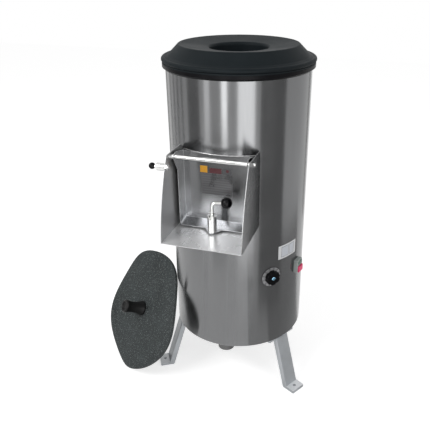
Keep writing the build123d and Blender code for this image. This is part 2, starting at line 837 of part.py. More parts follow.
driven_line = driven_pulley_radius - pulley_lip - belt_height
motor_line = motor_pulley_radius - pulley_lip - belt_height
wrap = math.acos((driven_line - motor_line) / motor_offset)


def belt_point(radius, centre, side):
    """Where the straight run of the belt meets a pulley."""
    return (side * radius * math.sin(wrap), centre + radius * math.cos(wrap))


with BuildPart() as v_belt:
    with BuildLine(Plane.XY.offset(pulley_middle)):
        Line(belt_point(driven_line, 0, 1), belt_point(motor_line, motor_offset, 1))
        ThreePointArc(
            belt_point(motor_line, motor_offset, 1),
            (0, motor_offset + motor_line),
            belt_point(motor_line, motor_offset, -1),
        )
        Line(belt_point(motor_line, motor_offset, -1), belt_point(driven_line, 0, -1))
        ThreePointArc(
            belt_point(driven_line, 0, -1), (0, -driven_line), belt_point(driven_line, 0, 1)
        )
    belt_start = (*belt_point(driven_line, 0, 1), pulley_middle)
    belt_out = (math.sin(wrap), math.cos(wrap), 0)
    with BuildSketch(Plane(origin=belt_start, x_dir=belt_out, z_dir=(-belt_out[1], belt_out[0], 0))):
        with BuildLine():
            Polyline(
                (0, -belt_inner_width / 2),
                (belt_height, -belt_back_width / 2),
                (belt_height, belt_back_width / 2),
                (0, belt_inner_width / 2),
                close=True,
            )
        make_face()
    sweep()

# ------------------------------------------------------------------ motor
motor_top = motor_bottom + motor_height
motor_bolts_at = [
    (motor_place[0] + x, motor_place[1] + y)
    for x, y in (polar_point(45.0 + 90.0 * step, motor_bolt_reach) for step in range(4))
]

with BuildPart() as motor_body:
    with BuildSketch(Plane.XY.offset(motor_bottom)):
        with Locations(motor_place):
            Circle(motor_radius)
    extrude(amount=motor_height)
    with BuildSketch(Plane.XY.offset(motor_bottom + motor_fin_margin)):
        with Locations(motor_place):
            with PolarLocations(motor_radius, motor_fin_count):
                Rectangle(2 * (motor_fin_radius - motor_radius), motor_fin_width)
    extrude(amount=motor_height - 2 * motor_fin_margin)
    with BuildSketch(Plane.XY.offset(motor_top)):
        with Locations(motor_place):
            RectangleRounded(*motor_box_size, motor_box_corner)
    extrude(amount=motor_box_height)
    with BuildSketch(Plane.XY.offset(motor_bottom + motor_end_wall)):
        with Locations(motor_place):
            Circle(rotor_radius + float_gap)
    extrude(amount=motor_height - 2 * motor_end_wall, mode=Mode.SUBTRACT)
    with BuildSketch(Plane.XY.offset(motor_bottom)):
        with Locations(motor_place):
            Circle(motor_shaft_radius + shaft_gap)
    extrude(amount=motor_height - motor_end_wall / 2, mode=Mode.SUBTRACT)
    with BuildSketch(Plane.XY.offset(motor_bottom)):
        with Locations(*motor_bolts_at):
            Circle(bolt_radius + seat_gap)
    extrude(amount=motor_bolt_depth, mode=Mode.SUBTRACT)

with BuildPart() as motor_shaft:
    with BuildSketch(Plane.XY.offset(motor_bottom - motor_shaft_below)):
        with Locations(motor_place):
            Circle(motor_shaft_radius)
    extrude(amount=motor_shaft_below + motor_height - motor_end_wall / 2 - float_gap)
    with BuildSketch(Plane.XY.offset(motor_bottom + motor_end_wall + float_gap)):
        with Locations(motor_place):
            Circle(rotor_radius)
    extrude(amount=motor_height - 2 * motor_end_wall - 2 * float_gap)

with BuildPart() as motor_plate:
    with BuildSketch(Plane.XY.offset(motor_bottom - motor_plate_thickness)):
        Circle(drum_inner - seat_gap)
        with Locations((0, -motor_plate_back - drum_radius)):
            Rectangle(2 * drum_radius, 2 * drum_radius, mode=Mode.SUBTRACT)
        Circle(plate_shaft_radius, mode=Mode.SUBTRACT)
        with Locations(motor_place):
            Circle(motor_boss_radius, mode=Mode.SUBTRACT)
        with Locations(*motor_bolts_at):
            Circle(bolt_radius + seat_gap, mode=Mode.SUBTRACT)
    extrude(amount=motor_plate_thickness)

motor_bolt_bottom = motor_bottom - motor_plate_thickness - bolt_head_height
with BuildPart() as motor_bolts:
    with BuildSketch(Plane.XY.offset(motor_bolt_bottom)):
        with Locations(*motor_bolts_at):
            RegularPolygon(bolt_head_radius, 6)
    extrude(amount=bolt_head_height)
    with BuildSketch(Plane.XY.offset(motor_bolt_bottom)):
        with Locations(*motor_bolts_at):
            Circle(bolt_radius)
    extrude(amount=bolt_head_height + motor_plate_thickness + motor_bolt_grip)

# ------------------------------------------------------------------ chute
tray_bottom = tray_height - chute_wall
chute_back = half_chord(drum_radius + seat_gap, chute_half_width)

with BuildPart() as chute_tray:
    with BuildSketch(Plane.XY.offset(tray_bottom)):
        with Locations((0, -chute_reach / 2)):
            Rectangle(2 * (chute_half_width - seat_gap), chute_reach)
        Circle(drum_radius + seat_gap, mode=Mode.SUBTRACT)
        with Locations((0, -latch_reach)):
            Circle(latch_radius + keeper_gap, mode=Mode.SUBTRACT)
    extrude(amount=chute_wall)

cheeks = {}
for side, sign in {"left": -1, "right": 1}.items():
    with BuildPart() as cheek:
        with BuildSketch(Plane.YZ.offset(sign * chute_half_width)):
            with BuildLine():
                Polyline(
                    (-chute_reach, tray_bottom),
                    (-chute_back, tray_bottom),
                    (-chute_back, cheek_top),
                    (-hinge_reach - cheek_front_top, cheek_top),
                )
                ThreePointArc(
                    (-hinge_reach - cheek_front_top, cheek_top),
                    (-hinge_reach - cheek_front_middle, tray_height + cheek_middle_rise),
                    (-chute_reach, tray_bottom),
                )
            make_face()
            fillet(vertices().group_by(Axis.Y)[-1], radius=cheek_corner)
            with Locations((-hinge_reach, hinge_height)):
                Circle(hinge_rod_radius + seat_gap, mode=Mode.SUBTRACT)
            if side == "left":
                with Locations((-plunger_place[0], plunger_place[1])):
                    Circle(plunger_neck_radius + seat_gap, mode=Mode.SUBTRACT)
        extrude(amount=sign * chute_wall)
    cheeks[side] = cheek

cheek_outer = chute_half_width + chute_wall
hinge_end = cheek_outer + hinge_nut_length - hinge_nut_crown
with BuildPart() as hinge_rod:
    with BuildSketch(Plane.YZ.offset(-hinge_end)):
        with Locations((-hinge_reach, hinge_height)):
            Circle(hinge_rod_radius)
    extrude(amount=2 * hinge_end)

with BuildPart() as hinge_nuts:
    for sign in (-1, 1):
        with BuildSketch(Plane.YZ.offset(sign * cheek_outer)):
            with Locations((-hinge_reach, hinge_height)):
                RegularPolygon(hinge_nut_radius, 6)
                Circle(hinge_rod_radius + seat_gap, mode=Mode.SUBTRACT)
        extrude(amount=sign * (hinge_nut_length - hinge_nut_crown))
        with BuildSketch(Plane.YZ.offset(sign * hinge_end)):
            with Locations((-hinge_reach, hinge_height)):
                Circle(hinge_crown_radius)
        extrude(amount=sign * hinge_nut_crown)

with BuildPart() as hinge_spacers:
    for sign in (-1, 1):
        with BuildSketch(Plane.YZ.offset(sign * (door_half_width + float_gap))):
            with Locations((-hinge_reach, hinge_height)):
                Circle(hinge_tube_radius)
                Circle(hinge_rod_radius + seat_gap, mode=Mode.SUBTRACT)
        extrude(amount=sign * (chute_half_width - door_half_width - float_gap))

# ------------------------------------------------------------------ door
door_back = door_plate_reach - door_wall
ear_top = hinge_height + door_ear_radius
door_ear_front = hinge_reach + door_ear_radius
door_floor_top = door_bottom + door_back_rise + 2 * door_wall

with BuildPart() as door_hollow:
    with BuildSketch(Plane.YZ):
        with BuildLine():
            Polyline(
                (-door_plate_reach, ear_top + door_wall),
                (-door_plate_reach, door_bottom + door_back_rise + door_wall),
                (-door_rim_reach, door_bottom + door_wall),
                (-door_ear_front - door_wall, door_bottom + door_wall),
                (-door_ear_front - door_wall, ear_top + door_wall),
                close=True,
            )
        make_face()
    extrude(amount=door_half_width - door_wall, both=True)
    lower_edges = door_hollow.edges().filter_by_position(Axis.Z, 0, door_floor_top)
    fillet(lower_edges.filter_by(Axis.X, reverse=True), radius=door_corner - door_wall)

with BuildPart() as door_pan:
    with BuildSketch(Plane.YZ):
        with BuildLine():
            Polyline(
                (-door_back, door_side_top),
                (-door_back, door_bottom + door_back_rise),
                (-door_rim_reach, door_bottom),
                (-door_rim_reach, door_rim_top),
                (-door_ear_front, hinge_height),
                (-hinge_reach, ear_top),
                (-hinge_reach + door_ear_radius, ear_top),
                close=True,
            )
        make_face()
    extrude(amount=door_half_width, both=True)
    lower_edges = door_pan.edges().filter_by_position(Axis.Z, 0, door_floor_top)
    fillet(lower_edges.filter_by(Axis.X, reverse=True), radius=door_corner)
    add(door_hollow, mode=Mode.SUBTRACT)
    with BuildSketch(Plane.XY.offset(door_bottom)):
        with BuildLine():
            Polyline(
                (lug_root, lug_lap - door_rim_reach),
                (-lug_root, lug_lap - door_rim_reach),
                (-lug_root, -door_rim_reach),
            )
            Spline(
                (-lug_root, -door_rim_reach),
                (-lug_half_width, -door_rim_reach - lug_shoulder),
                (0, -door_rim_reach - lug_length),
                (lug_half_width, -door_rim_reach - lug_shoulder),
                (lug_root, -door_rim_reach),
                tangents=[(1, 0), (1, 0)],
            )
            Line((lug_root, -door_rim_reach), (lug_root, lug_lap - door_rim_reach))
        make_face()
        with Locations((0, -latch_reach)):
            Circle(latch_radius + run_gap, mode=Mode.SUBTRACT)
    extrude(amount=door_wall)
    with BuildSketch(Plane.XZ.offset(door_back - door_wall)):
        with BuildLine():
            ThreePointArc(
                (-door_half_width, door_side_top), (0, door_middle_top), (door_half_width, door_side_top)
            )
            Polyline(
                (door_half_width, door_side_top),
                (door_half_width, ear_top + door_wall),
                (-door_half_width, ear_top + door_wall),
                (-door_half_width, door_side_top),
            )
        make_face()
    extrude(amount=3 * door_wall, mode=Mode.SUBTRACT)
    with BuildSketch(Plane.YZ.offset(-door_half_width)):
        with Locations((-hinge_reach, hinge_height)):
            Circle(hinge_tube_radius + seat_gap)
    extrude(amount=2 * door_half_width, mode=Mode.SUBTRACT)

with BuildPart() as hinge_tube:
    with BuildSketch(Plane.YZ.offset(-door_half_width)):
        with Locations((-hinge_reach, hinge_height)):
            Circle(hinge_tube_radius)
            Circle(hinge_rod_radius + shaft_gap, mode=Mode.SUBTRACT)
    extrude(amount=2 * door_half_width)

sleeve_bottom = door_bottom + door_wall
sleeve_top = sleeve_bottom + latch_sleeve_height
with BuildPart() as latch_sleeve:
    with BuildSketch(Plane.XY.offset(sleeve_bottom)):
        with Locations((0, -latch_reach)):
            Circle(latch_sleeve_radius)
    extrude(amount=latch_sleeve_height)
    with BuildSketch(Plane.XY.offset(sleeve_top)):
        with Locations((0, -latch_reach)):
            Circle(latch_collar_radius)
    extrude(amount=-latch_collar_height)
    with BuildSketch(Plane.XY.offset(sleeve_top)):
        with Locations((0, -latch_reach)):
            Circle(latch_radius + shaft_gap)
    extrude(amount=-latch_sleeve_height, mode=Mode.SUBTRACT)
    with BuildSketch(Plane.XZ.offset(latch_reach)):
        with BuildLine():
            Polyline(
                (-latch_notch_width / 2, sleeve_top),
                (0, sleeve_top - latch_notch_depth),
                (latch_notch_width / 2, sleeve_top),
                close=True,
            )
        make_face()
    extrude(amount=latch_collar_radius, both=True, mode=Mode.SUBTRACT)

patch_top = door_middle_top - patch_drop
patch_row = patch_top - max(height for _, _, height in patch_sizes.values())
text_plate_middle = patch_row - patch_row_gap - door_plate_size[1] / 2
with BuildPart() as door_text_plate:
    with BuildSketch(Plane.XZ.offset(door_plate_reach)):
        with Locations((-door_plate_shift, text_plate_middle)):
            RectangleRounded(*door_plate_size, plate_corner)
    extrude(amount=sheet_patch)

with BuildPart() as door_patches:
    with BuildSketch(Plane.XZ.offset(door_plate_reach)):
        for middle, width, height in patch_sizes.values():
            with Locations((middle, patch_row + height / 2)):
                Rectangle(width, height)
    extrude(amount=sheet_patch)

# ------------------------------------------------------------------ door latch
def build_ball(centre, direction, radius, bore):
    """Ball knob with a bore from its near side to its middle."""
    profile = Plane(origin=centre, x_dir=direction, z_dir=Vector(*direction).cross(Vector(0, 0, 1)))
    with BuildPart() as ball:
        with BuildSketch(profile):
            Circle(radius)
            with Locations((0, -radius)):
                Rectangle(2 * radius, 2 * radius, mode=Mode.SUBTRACT)
            with Locations((-radius, 0)):
                Rectangle(2 * (radius + seat_gap), 2 * bore, mode=Mode.SUBTRACT)
        revolve(axis=Axis(centre, direction))
    return ball


washer_bottom = sleeve_top + latch_drop
latch_pin_height = washer_bottom + washer_thickness + seat_gap + latch_pin_radius
arm_angle = math.radians(latch_arm_angle)
arm = (math.cos(arm_angle), math.sin(arm_angle), 0)
latch_origin = Vector(0, -latch_reach, 0)


def latch_point(along, height):
    """Point of the latch in the plane of its arm."""
    return latch_origin + Vector(*arm) * along + Vector(0, 0, height)


latch_pin_plane = Plane(origin=latch_point(0, latch_pin_height), z_dir=arm)
with BuildPart() as latch_rod:
    with BuildLine():
        FilletPolyline(
            latch_point(0, latch_tip),
            latch_point(0, latch_elbow_height),
            latch_point(latch_arm, latch_elbow_height),
            radius=latch_elbow_radius,
        )
    with BuildSketch(Plane(origin=latch_point(0, latch_tip), z_dir=(0, 0, 1))):
        Circle(latch_radius)
    sweep()
    with BuildSketch(latch_pin_plane):
        Circle(latch_pin_radius + shaft_gap)
    extrude(amount=latch_pin_length, both=True, mode=Mode.SUBTRACT)

with BuildPart() as latch_cross_pin:
    with BuildSketch(latch_pin_plane):
        Circle(latch_pin_radius)
    extrude(amount=latch_pin_length / 2, both=True)

latch_ball_centre = latch_point(latch_arm, latch_elbow_height)
latch_ball = build_ball(latch_ball_centre, arm, latch_ball_radius, latch_radius + seat_gap)

with BuildPart() as latch_washer:
    with BuildSketch(Plane.XY.offset(washer_bottom)):
        with Locations((0, -latch_reach)):
            Circle(washer_radius)
            Circle(latch_radius + shaft_gap, mode=Mode.SUBTRACT)
    extrude(amount=washer_thickness)

# ------------------------------------------------------------------ index plunger
sleeve_end = cheek_outer + plunger_sleeve_length
spring_room = plunger_sleeve_radius - plunger_sleeve_wall
pin_tip = door_half_width + plunger_tip_gap
pin_end = sleeve_end + plunger_ball_gap + plunger_ball_radius
collar_at = cheek_outer + collar_back


def plunger_plane(distance):
    """Plane across the plunger, facing away from the chute."""
    origin = (-distance, -plunger_place[0], plunger_place[1])
    return Plane(origin=origin, x_dir=(0, 1, 0), z_dir=(-1, 0, 0))


with BuildPart() as plunger_sleeve:
    with BuildSketch(plunger_plane(cheek_outer)):
        Circle(plunger_sleeve_radius)
    extrude(amount=plunger_sleeve_length)
    fillet(plunger_sleeve.faces().sort_by(Axis.X)[0].edges(), radius=plunger_sleeve_edge)
    with BuildSketch(plunger_plane(chute_half_width - plunger_nut_height)):
        Circle(plunger_neck_radius)
    extrude(amount=plunger_nut_height + chute_wall)
    with BuildSketch(plunger_plane(chute_half_width - plunger_nut_height)):
        Circle(plunger_radius + shaft_gap)
    extrude(amount=plunger_sleeve_length + chute_wall + plunger_nut_height, mode=Mode.SUBTRACT)
    with BuildSketch(plunger_plane(cheek_outer + plunger_sleeve_wall)):
        Circle(spring_room)
    extrude(amount=plunger_sleeve_length - sleeve_cap - plunger_sleeve_wall, mode=Mode.SUBTRACT)

with BuildPart() as plunger_nut:
    with BuildSketch(plunger_plane(chute_half_width - plunger_nut_height)):
        RegularPolygon(plunger_nut_radius, 6)
        Circle(plunger_neck_radius + seat_gap, mode=Mode.SUBTRACT)
    extrude(amount=plunger_nut_height)

with BuildPart() as plunger_pin:
    with BuildSketch(plunger_plane(pin_tip)):
        Circle(plunger_radius)
    extrude(amount=pin_end - pin_tip)
    with BuildSketch(plunger_plane(collar_at)):
        Circle(spring_room - run_gap)
    extrude(amount=collar_width)
    fillet(plunger_pin.faces().sort_by(Axis.X)[-1].edges(), radius=plunger_tip_edge)

plunger_ball_centre = (-pin_end, -plunger_place[0], plunger_place[1])
plunger_ball = build_ball(
    plunger_ball_centre, (-1, 0, 0), plunger_ball_radius, plunger_radius + seat_gap
)

spring_from = collar_at + collar_width + plunger_pull
spring_to = sleeve_end - sleeve_cap
spring_length = spring_to - spring_from - spring_wire
with BuildPart() as plunger_spring:
    with BuildLine() as coil:
        Helix(
            spring_length / spring_turns,
            spring_length,
            spring_radius,
            center=(-spring_from - spring_wire / 2, -plunger_place[0], plunger_place[1]),
            direction=(-1, 0, 0),
        )
    with BuildSketch(Plane(origin=coil.line @ 0, z_dir=coil.line % 0)):
        Circle(spring_wire / 2)
    sweep(is_frenet=True)

# ------------------------------------------------------------------ timer
box_front = drum_wall + drum_inner - half_chord(drum_inner, timer_box_size / 2) + seat_gap
knob_base = dial_thickness + float_gap + seat_gap

with BuildPart() as timer_body:
    with BuildSketch(timer_plane.offset(-box_front)):
        RectangleRounded(timer_box_size, timer_box_size, timer_box_corner)
    extrude(amount=-timer_box_depth)
    with BuildSketch(timer_plane.offset(-box_front)):
        Circle(timer_neck_radius)
    extrude(amount=box_front + dial_thickness)
    with BuildSketch(timer_plane.offset(dial_thickness)):
        Circle(timer_spindle_radius + shaft_gap)
    extrude(amount=-timer_spindle_length, mode=Mode.SUBTRACT)


def drum_sheet(azimuth, height, thickness, tall, outline):
    """Thin plate that follows the drum, trimmed to an outline seen square on."""
    with BuildPart() as sheet:
        with BuildSketch(Plane.XY.offset(height - tall)):
            Circle(drum_radius + seat_gap + thickness)
            Circle(drum_radius + seat_gap, mode=Mode.SUBTRACT)
        extrude(amount=2 * tall)
        with BuildSketch(radial_plane(azimuth, drum_radius / 2, height)):
            outline()
        extrude(amount=drum_radius, mode=Mode.INTERSECT)
    return sheet


def dial_outline():
    Circle(dial_radius)
    Circle(timer_neck_radius + seat_gap, mode=Mode.SUBTRACT)


def label_outline():
    RectangleRounded(*label_size, plate_corner)


dial_plate = drum_sheet(timer_azimuth, timer_height, dial_thickness, 2 * dial_radius, dial_outline)
side_label = drum_sheet(label_azimuth, label_height, sheet_patch, label_size[1], label_outline)

with BuildPart() as timer_knob:
    with BuildSketch(timer_plane.offset(knob_base)):
        Circle(knob_radius)
        with PolarLocations(knob_radius + knob_scallop_radius / 2, knob_lobes):
            Circle(knob_scallop_radius, mode=Mode.SUBTRACT)
    extrude(amount=knob_height)
    knob_top = timer_knob.faces().filter_by(lambda face: face.normal_at().dot(timer_plane.z_dir) > 0.99)
    chamfer(knob_top.edges(), length=knob_edge)
    with BuildSketch(timer_plane.offset(knob_base)):
        Circle(timer_spindle_radius + shaft_gap)
    extrude(amount=knob_height / 2, mode=Mode.SUBTRACT)

with BuildPart() as timer_spindle:
    with BuildSketch(timer_plane.offset(dial_thickness - timer_spindle_length + float_gap)):
        Circle(timer_spindle_radius)
    extrude(amount=timer_spindle_length + knob_height / 2 - float_gap)

# ------------------------------------------------------------------ start and stop switch
buttons_at = {"start": (start_size, start_rise), "stop": (stop_size, -stop_drop)}
stem_end = button_travel + float_gap - contact_setback

with BuildPart() as switch_housing:
    with BuildSketch(switch_plane.offset(-switch_sink)):
        RectangleRounded(*switch_size, switch_corner)
    extrude(amount=switch_depth + switch_sink)
    front = switch_housing.faces().filter_by(lambda face: face.normal_at().dot(switch_plane.z_dir) > 0.99)
    fillet(front.edges(), radius=switch_edge)
    with BuildSketch(Plane.XY.offset(switch_height - switch_size[1])):
        Circle(drum_radius + seat_gap)
    extrude(amount=2 * switch_size[1], mode=Mode.SUBTRACT)
    with BuildSketch(switch_plane.offset(-switch_sink)):
        for size, rise in buttons_at.values():
            with Locations((0, rise)):
                Rectangle(size[0] + 2 * float_gap, size[1] + 2 * float_gap)
    extrude(amount=switch_depth + 2 * switch_sink, mode=Mode.SUBTRACT)


def build_button(size, rise, protrusion):
    """Push button that slides in the switch housing."""
    with BuildPart() as button:
        with BuildSketch(switch_plane.offset(stem_end)):
            with Locations((0, rise)):
                Rectangle(*size)
        extrude(amount=switch_depth + protrusion - stem_end)
        cap = button.faces().filter_by(lambda face: face.normal_at().dot(switch_plane.z_dir) > 0.99)
        fillet(cap.edges(), radius=button_edge)
    return button


start_button = build_button(start_size, start_rise, start_protrusion)
stop_button = build_button(stop_size, -stop_drop, stop_protrusion)

with BuildPart() as contact_block:
    with BuildSketch(switch_plane.offset(-contact_setback)):
        Rectangle(*contact_size)
    extrude(amount=-contact_depth)

# ------------------------------------------------------------------ water inlet and cable gland
with BuildPart() as inlet_pipe:
    with BuildSketch(inlet_plane.offset(-inlet_inside)):
        Circle(inlet_radius)
        Circle(inlet_bore, mode=Mode.SUBTRACT)
    extrude(amount=inlet_inside + inlet_length)
    with BuildSketch(inlet_plane.offset(seat_gap)):
        Circle(inlet_flange_radius)
        Circle(inlet_bore, mode=Mode.SUBTRACT)
    extrude(amount=inlet_flange_thickness)

with BuildPart() as cable_gland:
    with BuildSketch(gland_plane.offset(-gland_inside)):
        Circle(gland_radius)
    extrude(amount=gland_inside + seat_gap)
    with BuildSketch(gland_plane.offset(seat_gap)):
        RegularPolygon(gland_hex_radius, 6)
    extrude(amount=gland_hex_height)
    with BuildSketch(gland_plane.offset(seat_gap + gland_hex_height)):
        Circle(gland_cap_radius)
    extrude(amount=gland_cap_height, taper=gland_cap_taper)
    with BuildSketch(gland_plane.offset(-gland_inside)):
        Circle(gland_entry_radius)
    extrude(amount=gland_inside + gland_seat, mode=Mode.SUBTRACT)
    with BuildSketch(gland_plane.offset(gland_seat)):
        Circle(gland_bore)
    extrude(amount=gland_hex_height + gland_cap_height, mode=Mode.SUBTRACT)

# ------------------------------------------------------------------ one file for each piece
pieces = {
    "drum_shell": drum_shell,
    "base_plate": base_plate,
    "rim_collar": rim_collar,
    "lid": lid,
    **legs,
    "leg_fasteners": leg_fasteners,
    "chamber_floor": chamber_floor,
    "drain_pipe": drain_pipe,
    "bearing_housing": bearing_housing,
    "housing_bolts": housing_bolts,
    "bearing_outer_rings": bearing_outer_rings,
    "bearing_inner_rings": bearing_inner_rings,
    "bearing_balls": bearing_balls,
    "shaft_seal": shaft_seal,
    "main_shaft": main_shaft,
    "drive_hub": drive_hub,
    "abrasive_disc": abrasive_disc,
    "disc_handle": disc_handle,
    "spare_disc": spare_disc,
    "spare_disc_handle": spare_disc_handle,
    "driven_pulley": driven_pulley,
    "motor_pulley": motor_pulley,
    "v_belt": v_belt,
    "motor_body": motor_body,
    "motor_shaft": motor_shaft,
    "motor_plate": motor_plate,
    "motor_bolts": motor_bolts,
    "chute_tray": chute_tray,
    "chute_left_cheek": cheeks["left"],
    "chute_right_cheek": cheeks["right"],
    "hinge_rod": hinge_rod,
    "hinge_nuts": hinge_nuts,
    "hinge_spacers": hinge_spacers,
    "door_pan": door_pan,
    "hinge_tube": hinge_tube,
    "door_text_plate": door_text_plate,
    "door_patches": door_patches,
    "latch_sleeve": latch_sleeve,
    "latch_washer": latch_washer,
    "latch_rod": latch_rod,
    "latch_cross_pin": latch_cross_pin,
    "latch_ball": latch_ball,
    "plunger_sleeve": plunger_sleeve,
    "plunger_nut": plunger_nut,
    "plunger_pin": plunger_pin,
    "plunger_ball": plunger_ball,
    "plunger_spring": plunger_spring,
    "timer_body": timer_body,
    "timer_spindle": timer_spindle,
    "dial_plate": dial_plate,
    "timer_knob": timer_knob,
    "switch_housing": switch_housing,
    "contact_block": contact_block,
    "start_button": start_button,
    "stop_button": stop_button,
    "side_label": side_label,
    "inlet_pipe": inlet_pipe,
    "cable_gland": cable_gland,
}

os.makedirs("parts", exist_ok=True)
for name, piece in pieces.items():
    piece.part.label = name
    export_step(piece.part, f"parts/{name}.step")
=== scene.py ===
import math

import bmesh
import bpy
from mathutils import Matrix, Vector


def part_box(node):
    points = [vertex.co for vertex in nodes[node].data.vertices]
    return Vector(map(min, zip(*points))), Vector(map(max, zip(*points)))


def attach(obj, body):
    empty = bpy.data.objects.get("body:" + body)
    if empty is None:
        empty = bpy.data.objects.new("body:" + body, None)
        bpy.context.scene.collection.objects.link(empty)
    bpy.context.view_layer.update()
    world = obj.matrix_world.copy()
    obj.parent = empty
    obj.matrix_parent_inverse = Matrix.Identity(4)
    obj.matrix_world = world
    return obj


# Looks of the electric potato peeler. Metres, in the part's own frame: origin on the floor on the
# drum's axis, +Z up, and the chute faces -Y. Azimuths are in degrees round the drum from +X.

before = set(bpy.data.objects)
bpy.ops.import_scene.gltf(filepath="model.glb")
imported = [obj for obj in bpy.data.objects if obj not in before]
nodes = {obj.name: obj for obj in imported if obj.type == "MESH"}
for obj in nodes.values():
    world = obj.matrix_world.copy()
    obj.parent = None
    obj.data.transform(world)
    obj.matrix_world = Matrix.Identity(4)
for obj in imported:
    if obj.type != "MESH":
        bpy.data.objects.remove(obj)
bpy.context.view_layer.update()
scene = bpy.context.scene

# ------------------------------------------------------------------ camera
PICTURE_SIDE = 430              # pixels
CAMERA_SHIFT = -24              # pixels
CAMERA_PLACE = (0.4338, -1.4470, 1.2458)
CAMERA_HEADING = 16.69          # degrees the view turns left of straight ahead
CAMERA_PITCH = 25.64            # degrees below level
CAMERA_LENS = 45.39             # millimetres

camera_data = bpy.data.cameras.new("camera")
camera_data.lens = CAMERA_LENS
camera_data.shift_x = CAMERA_SHIFT / PICTURE_SIDE
camera = bpy.data.objects.new("camera", camera_data)
camera.location = CAMERA_PLACE
camera.rotation_euler = (math.radians(90 - CAMERA_PITCH), 0, math.radians(CAMERA_HEADING))
scene.collection.objects.link(camera)
scene.camera = camera
scene.view_settings.view_transform = "Standard"

# ------------------------------------------------------------------ directions, places and tones
ORIGIN = (0, 0, 0)
RIGHT = (1, 0, 0)
UP = (0, 0, 1)
WHITE = (1, 1, 1)
BLACK = (0, 0, 0)


def out_of_the_drum(azimuth):
    """Direction from the drum's axis."""
    angle = math.radians(azimuth)
    return (math.cos(angle), math.sin(angle), 0)


def round_the_drum(azimuth):
    """Direction along the drum's surface, to the right of someone who faces it."""
    angle = math.radians(azimuth)
    return (-math.sin(angle), math.cos(angle), 0)


def corners_of(node):
    """Lowest and highest corner of a node."""
    return [Vector(corner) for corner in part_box(node)]


def scaled(values, factor):
    """A tone or a direction, times a factor."""
    return tuple(factor * value for value in values)


# ------------------------------------------------------------------ node helpers
EVEN = (1, 1, 1)                # a noise that isn't stretched
NOISE_RANGE = (0.3, 0.7)        # most of a noise lies between these
FULL_RANGE = (0.0, 1.0)
MIX_COLOURS = (6, 7)            # a mix has sockets of the same name for each kind of value
MIX_RESULT = 2


class NodeTree:
    """Short calls for the nodes that the finishes and the world share."""

    def __init__(self, tree):
        self.tree = tree

    def feed(self, socket, value):
        """Links a socket, or sets it to a number, a vector or a tone."""
        if isinstance(value, bpy.types.NodeSocket):
            self.tree.links.new(value, socket)
        elif socket.type == "RGBA":
            socket.default_value = (*value, 1)
        else:
            socket.default_value = value

    def node(self, kind, inputs=None, **settings):
        """Adds a node, with what its inputs are fed by name or by place."""
        made = self.tree.nodes.new("ShaderNode" + kind)
        for key, value in settings.items():
            setattr(made, key, value)
        for socket, value in (inputs or {}).items():
            self.feed(made.inputs[socket], value)
        return made

    def place(self, stretch=EVEN):
        """Object coordinates in metres, stretched."""
        coordinates = self.node("TexCoord").outputs["Object"]
        return self.node("Mapping", {"Vector": coordinates, "Scale": stretch}).outputs["Vector"]

    def noise(self, scale, stretch=EVEN, detail=3.0, rough=0.55):
        """Noise with a scale in cycles per metre."""
        inputs = {"Scale": scale, "Detail": detail, "Roughness": rough, "Vector": self.place(stretch)}
        return self.node("TexNoise", inputs).outputs["Fac"]

    def ramp(self, value, *stops):
        """Colour ramp through (position, grey or colour) stops."""
        made = self.node("ValToRGB", {"Fac": value})
        elements = made.color_ramp.elements
        while len(elements) < len(stops):
            elements.new(0.5)
        for element, (position, tone) in zip(elements, stops):
            element.position = position
            element.color = (*tone, 1) if hasattr(tone, "__len__") else (tone, tone, tone, 1)
        return made.outputs["Color"]

    def spread(self, value, low, high, source=NOISE_RANGE):
        """Maps a value from its own range to another."""
        first, last = source
        inputs = {"Value": value, "From Min": first, "From Max": last, "To Min": low, "To Max": high}
        return self.node("MapRange", inputs).outputs["Result"]

    def mix(self, factor, one, two, blend="MIX"):
        first, second = MIX_COLOURS
        inputs = {"Factor": factor, first: one, second: two}
        return self.node("Mix", inputs, data_type="RGBA", blend_type=blend).outputs[MIX_RESULT]

    def math(self, operation, one, two=0.0):
        return self.node("Math", {0: one, 1: two}, operation=operation).outputs["Value"]

    def dot(self, one, two):
        return self.node("VectorMath", {0: one, 1: two}, operation="DOT_PRODUCT").outputs["Value"]

    def along(self, direction, origin):
        """Distance in metres from a point, along a direction."""
        coordinates = self.node("TexCoord").outputs["Object"]
        offset = self.node("VectorMath", {0: coordinates, 1: origin}, operation="SUBTRACT")
        return self.dot(offset.outputs["Vector"], direction)

    def inside(self, value, low, high):
        """1 between two limits and 0 outside them."""
        above = self.math("GREATER_THAN", value, low)
        return self.math("MULTIPLY", above, self.math("LESS_THAN", value, high))

    def area(self, across, up, left, right, bottom, top):
        """1 inside a rectangle."""
        return self.math("MULTIPLY", self.inside(across, left, right), self.inside(up, bottom, top))

    def border(self, across, up, left, right, bottom, top, width):
        """1 on the border of a rectangle."""
        outer = self.area(across, up, left, right, bottom, top)
        inner = self.area(across, up, left + width, right - width, bottom + width, top - width)
        return self.math("SUBTRACT", outer, inner)

    def seen_directly(self):
        """1 for camera, glossy and transmission rays, so that metal shows the background too."""
        rays = self.node("LightPath").outputs
        seen = self.math("MAXIMUM", rays["Is Camera Ray"], rays["Is Glossy Ray"])
        return self.math("MAXIMUM", seen, rays["Is Transmission Ray"])


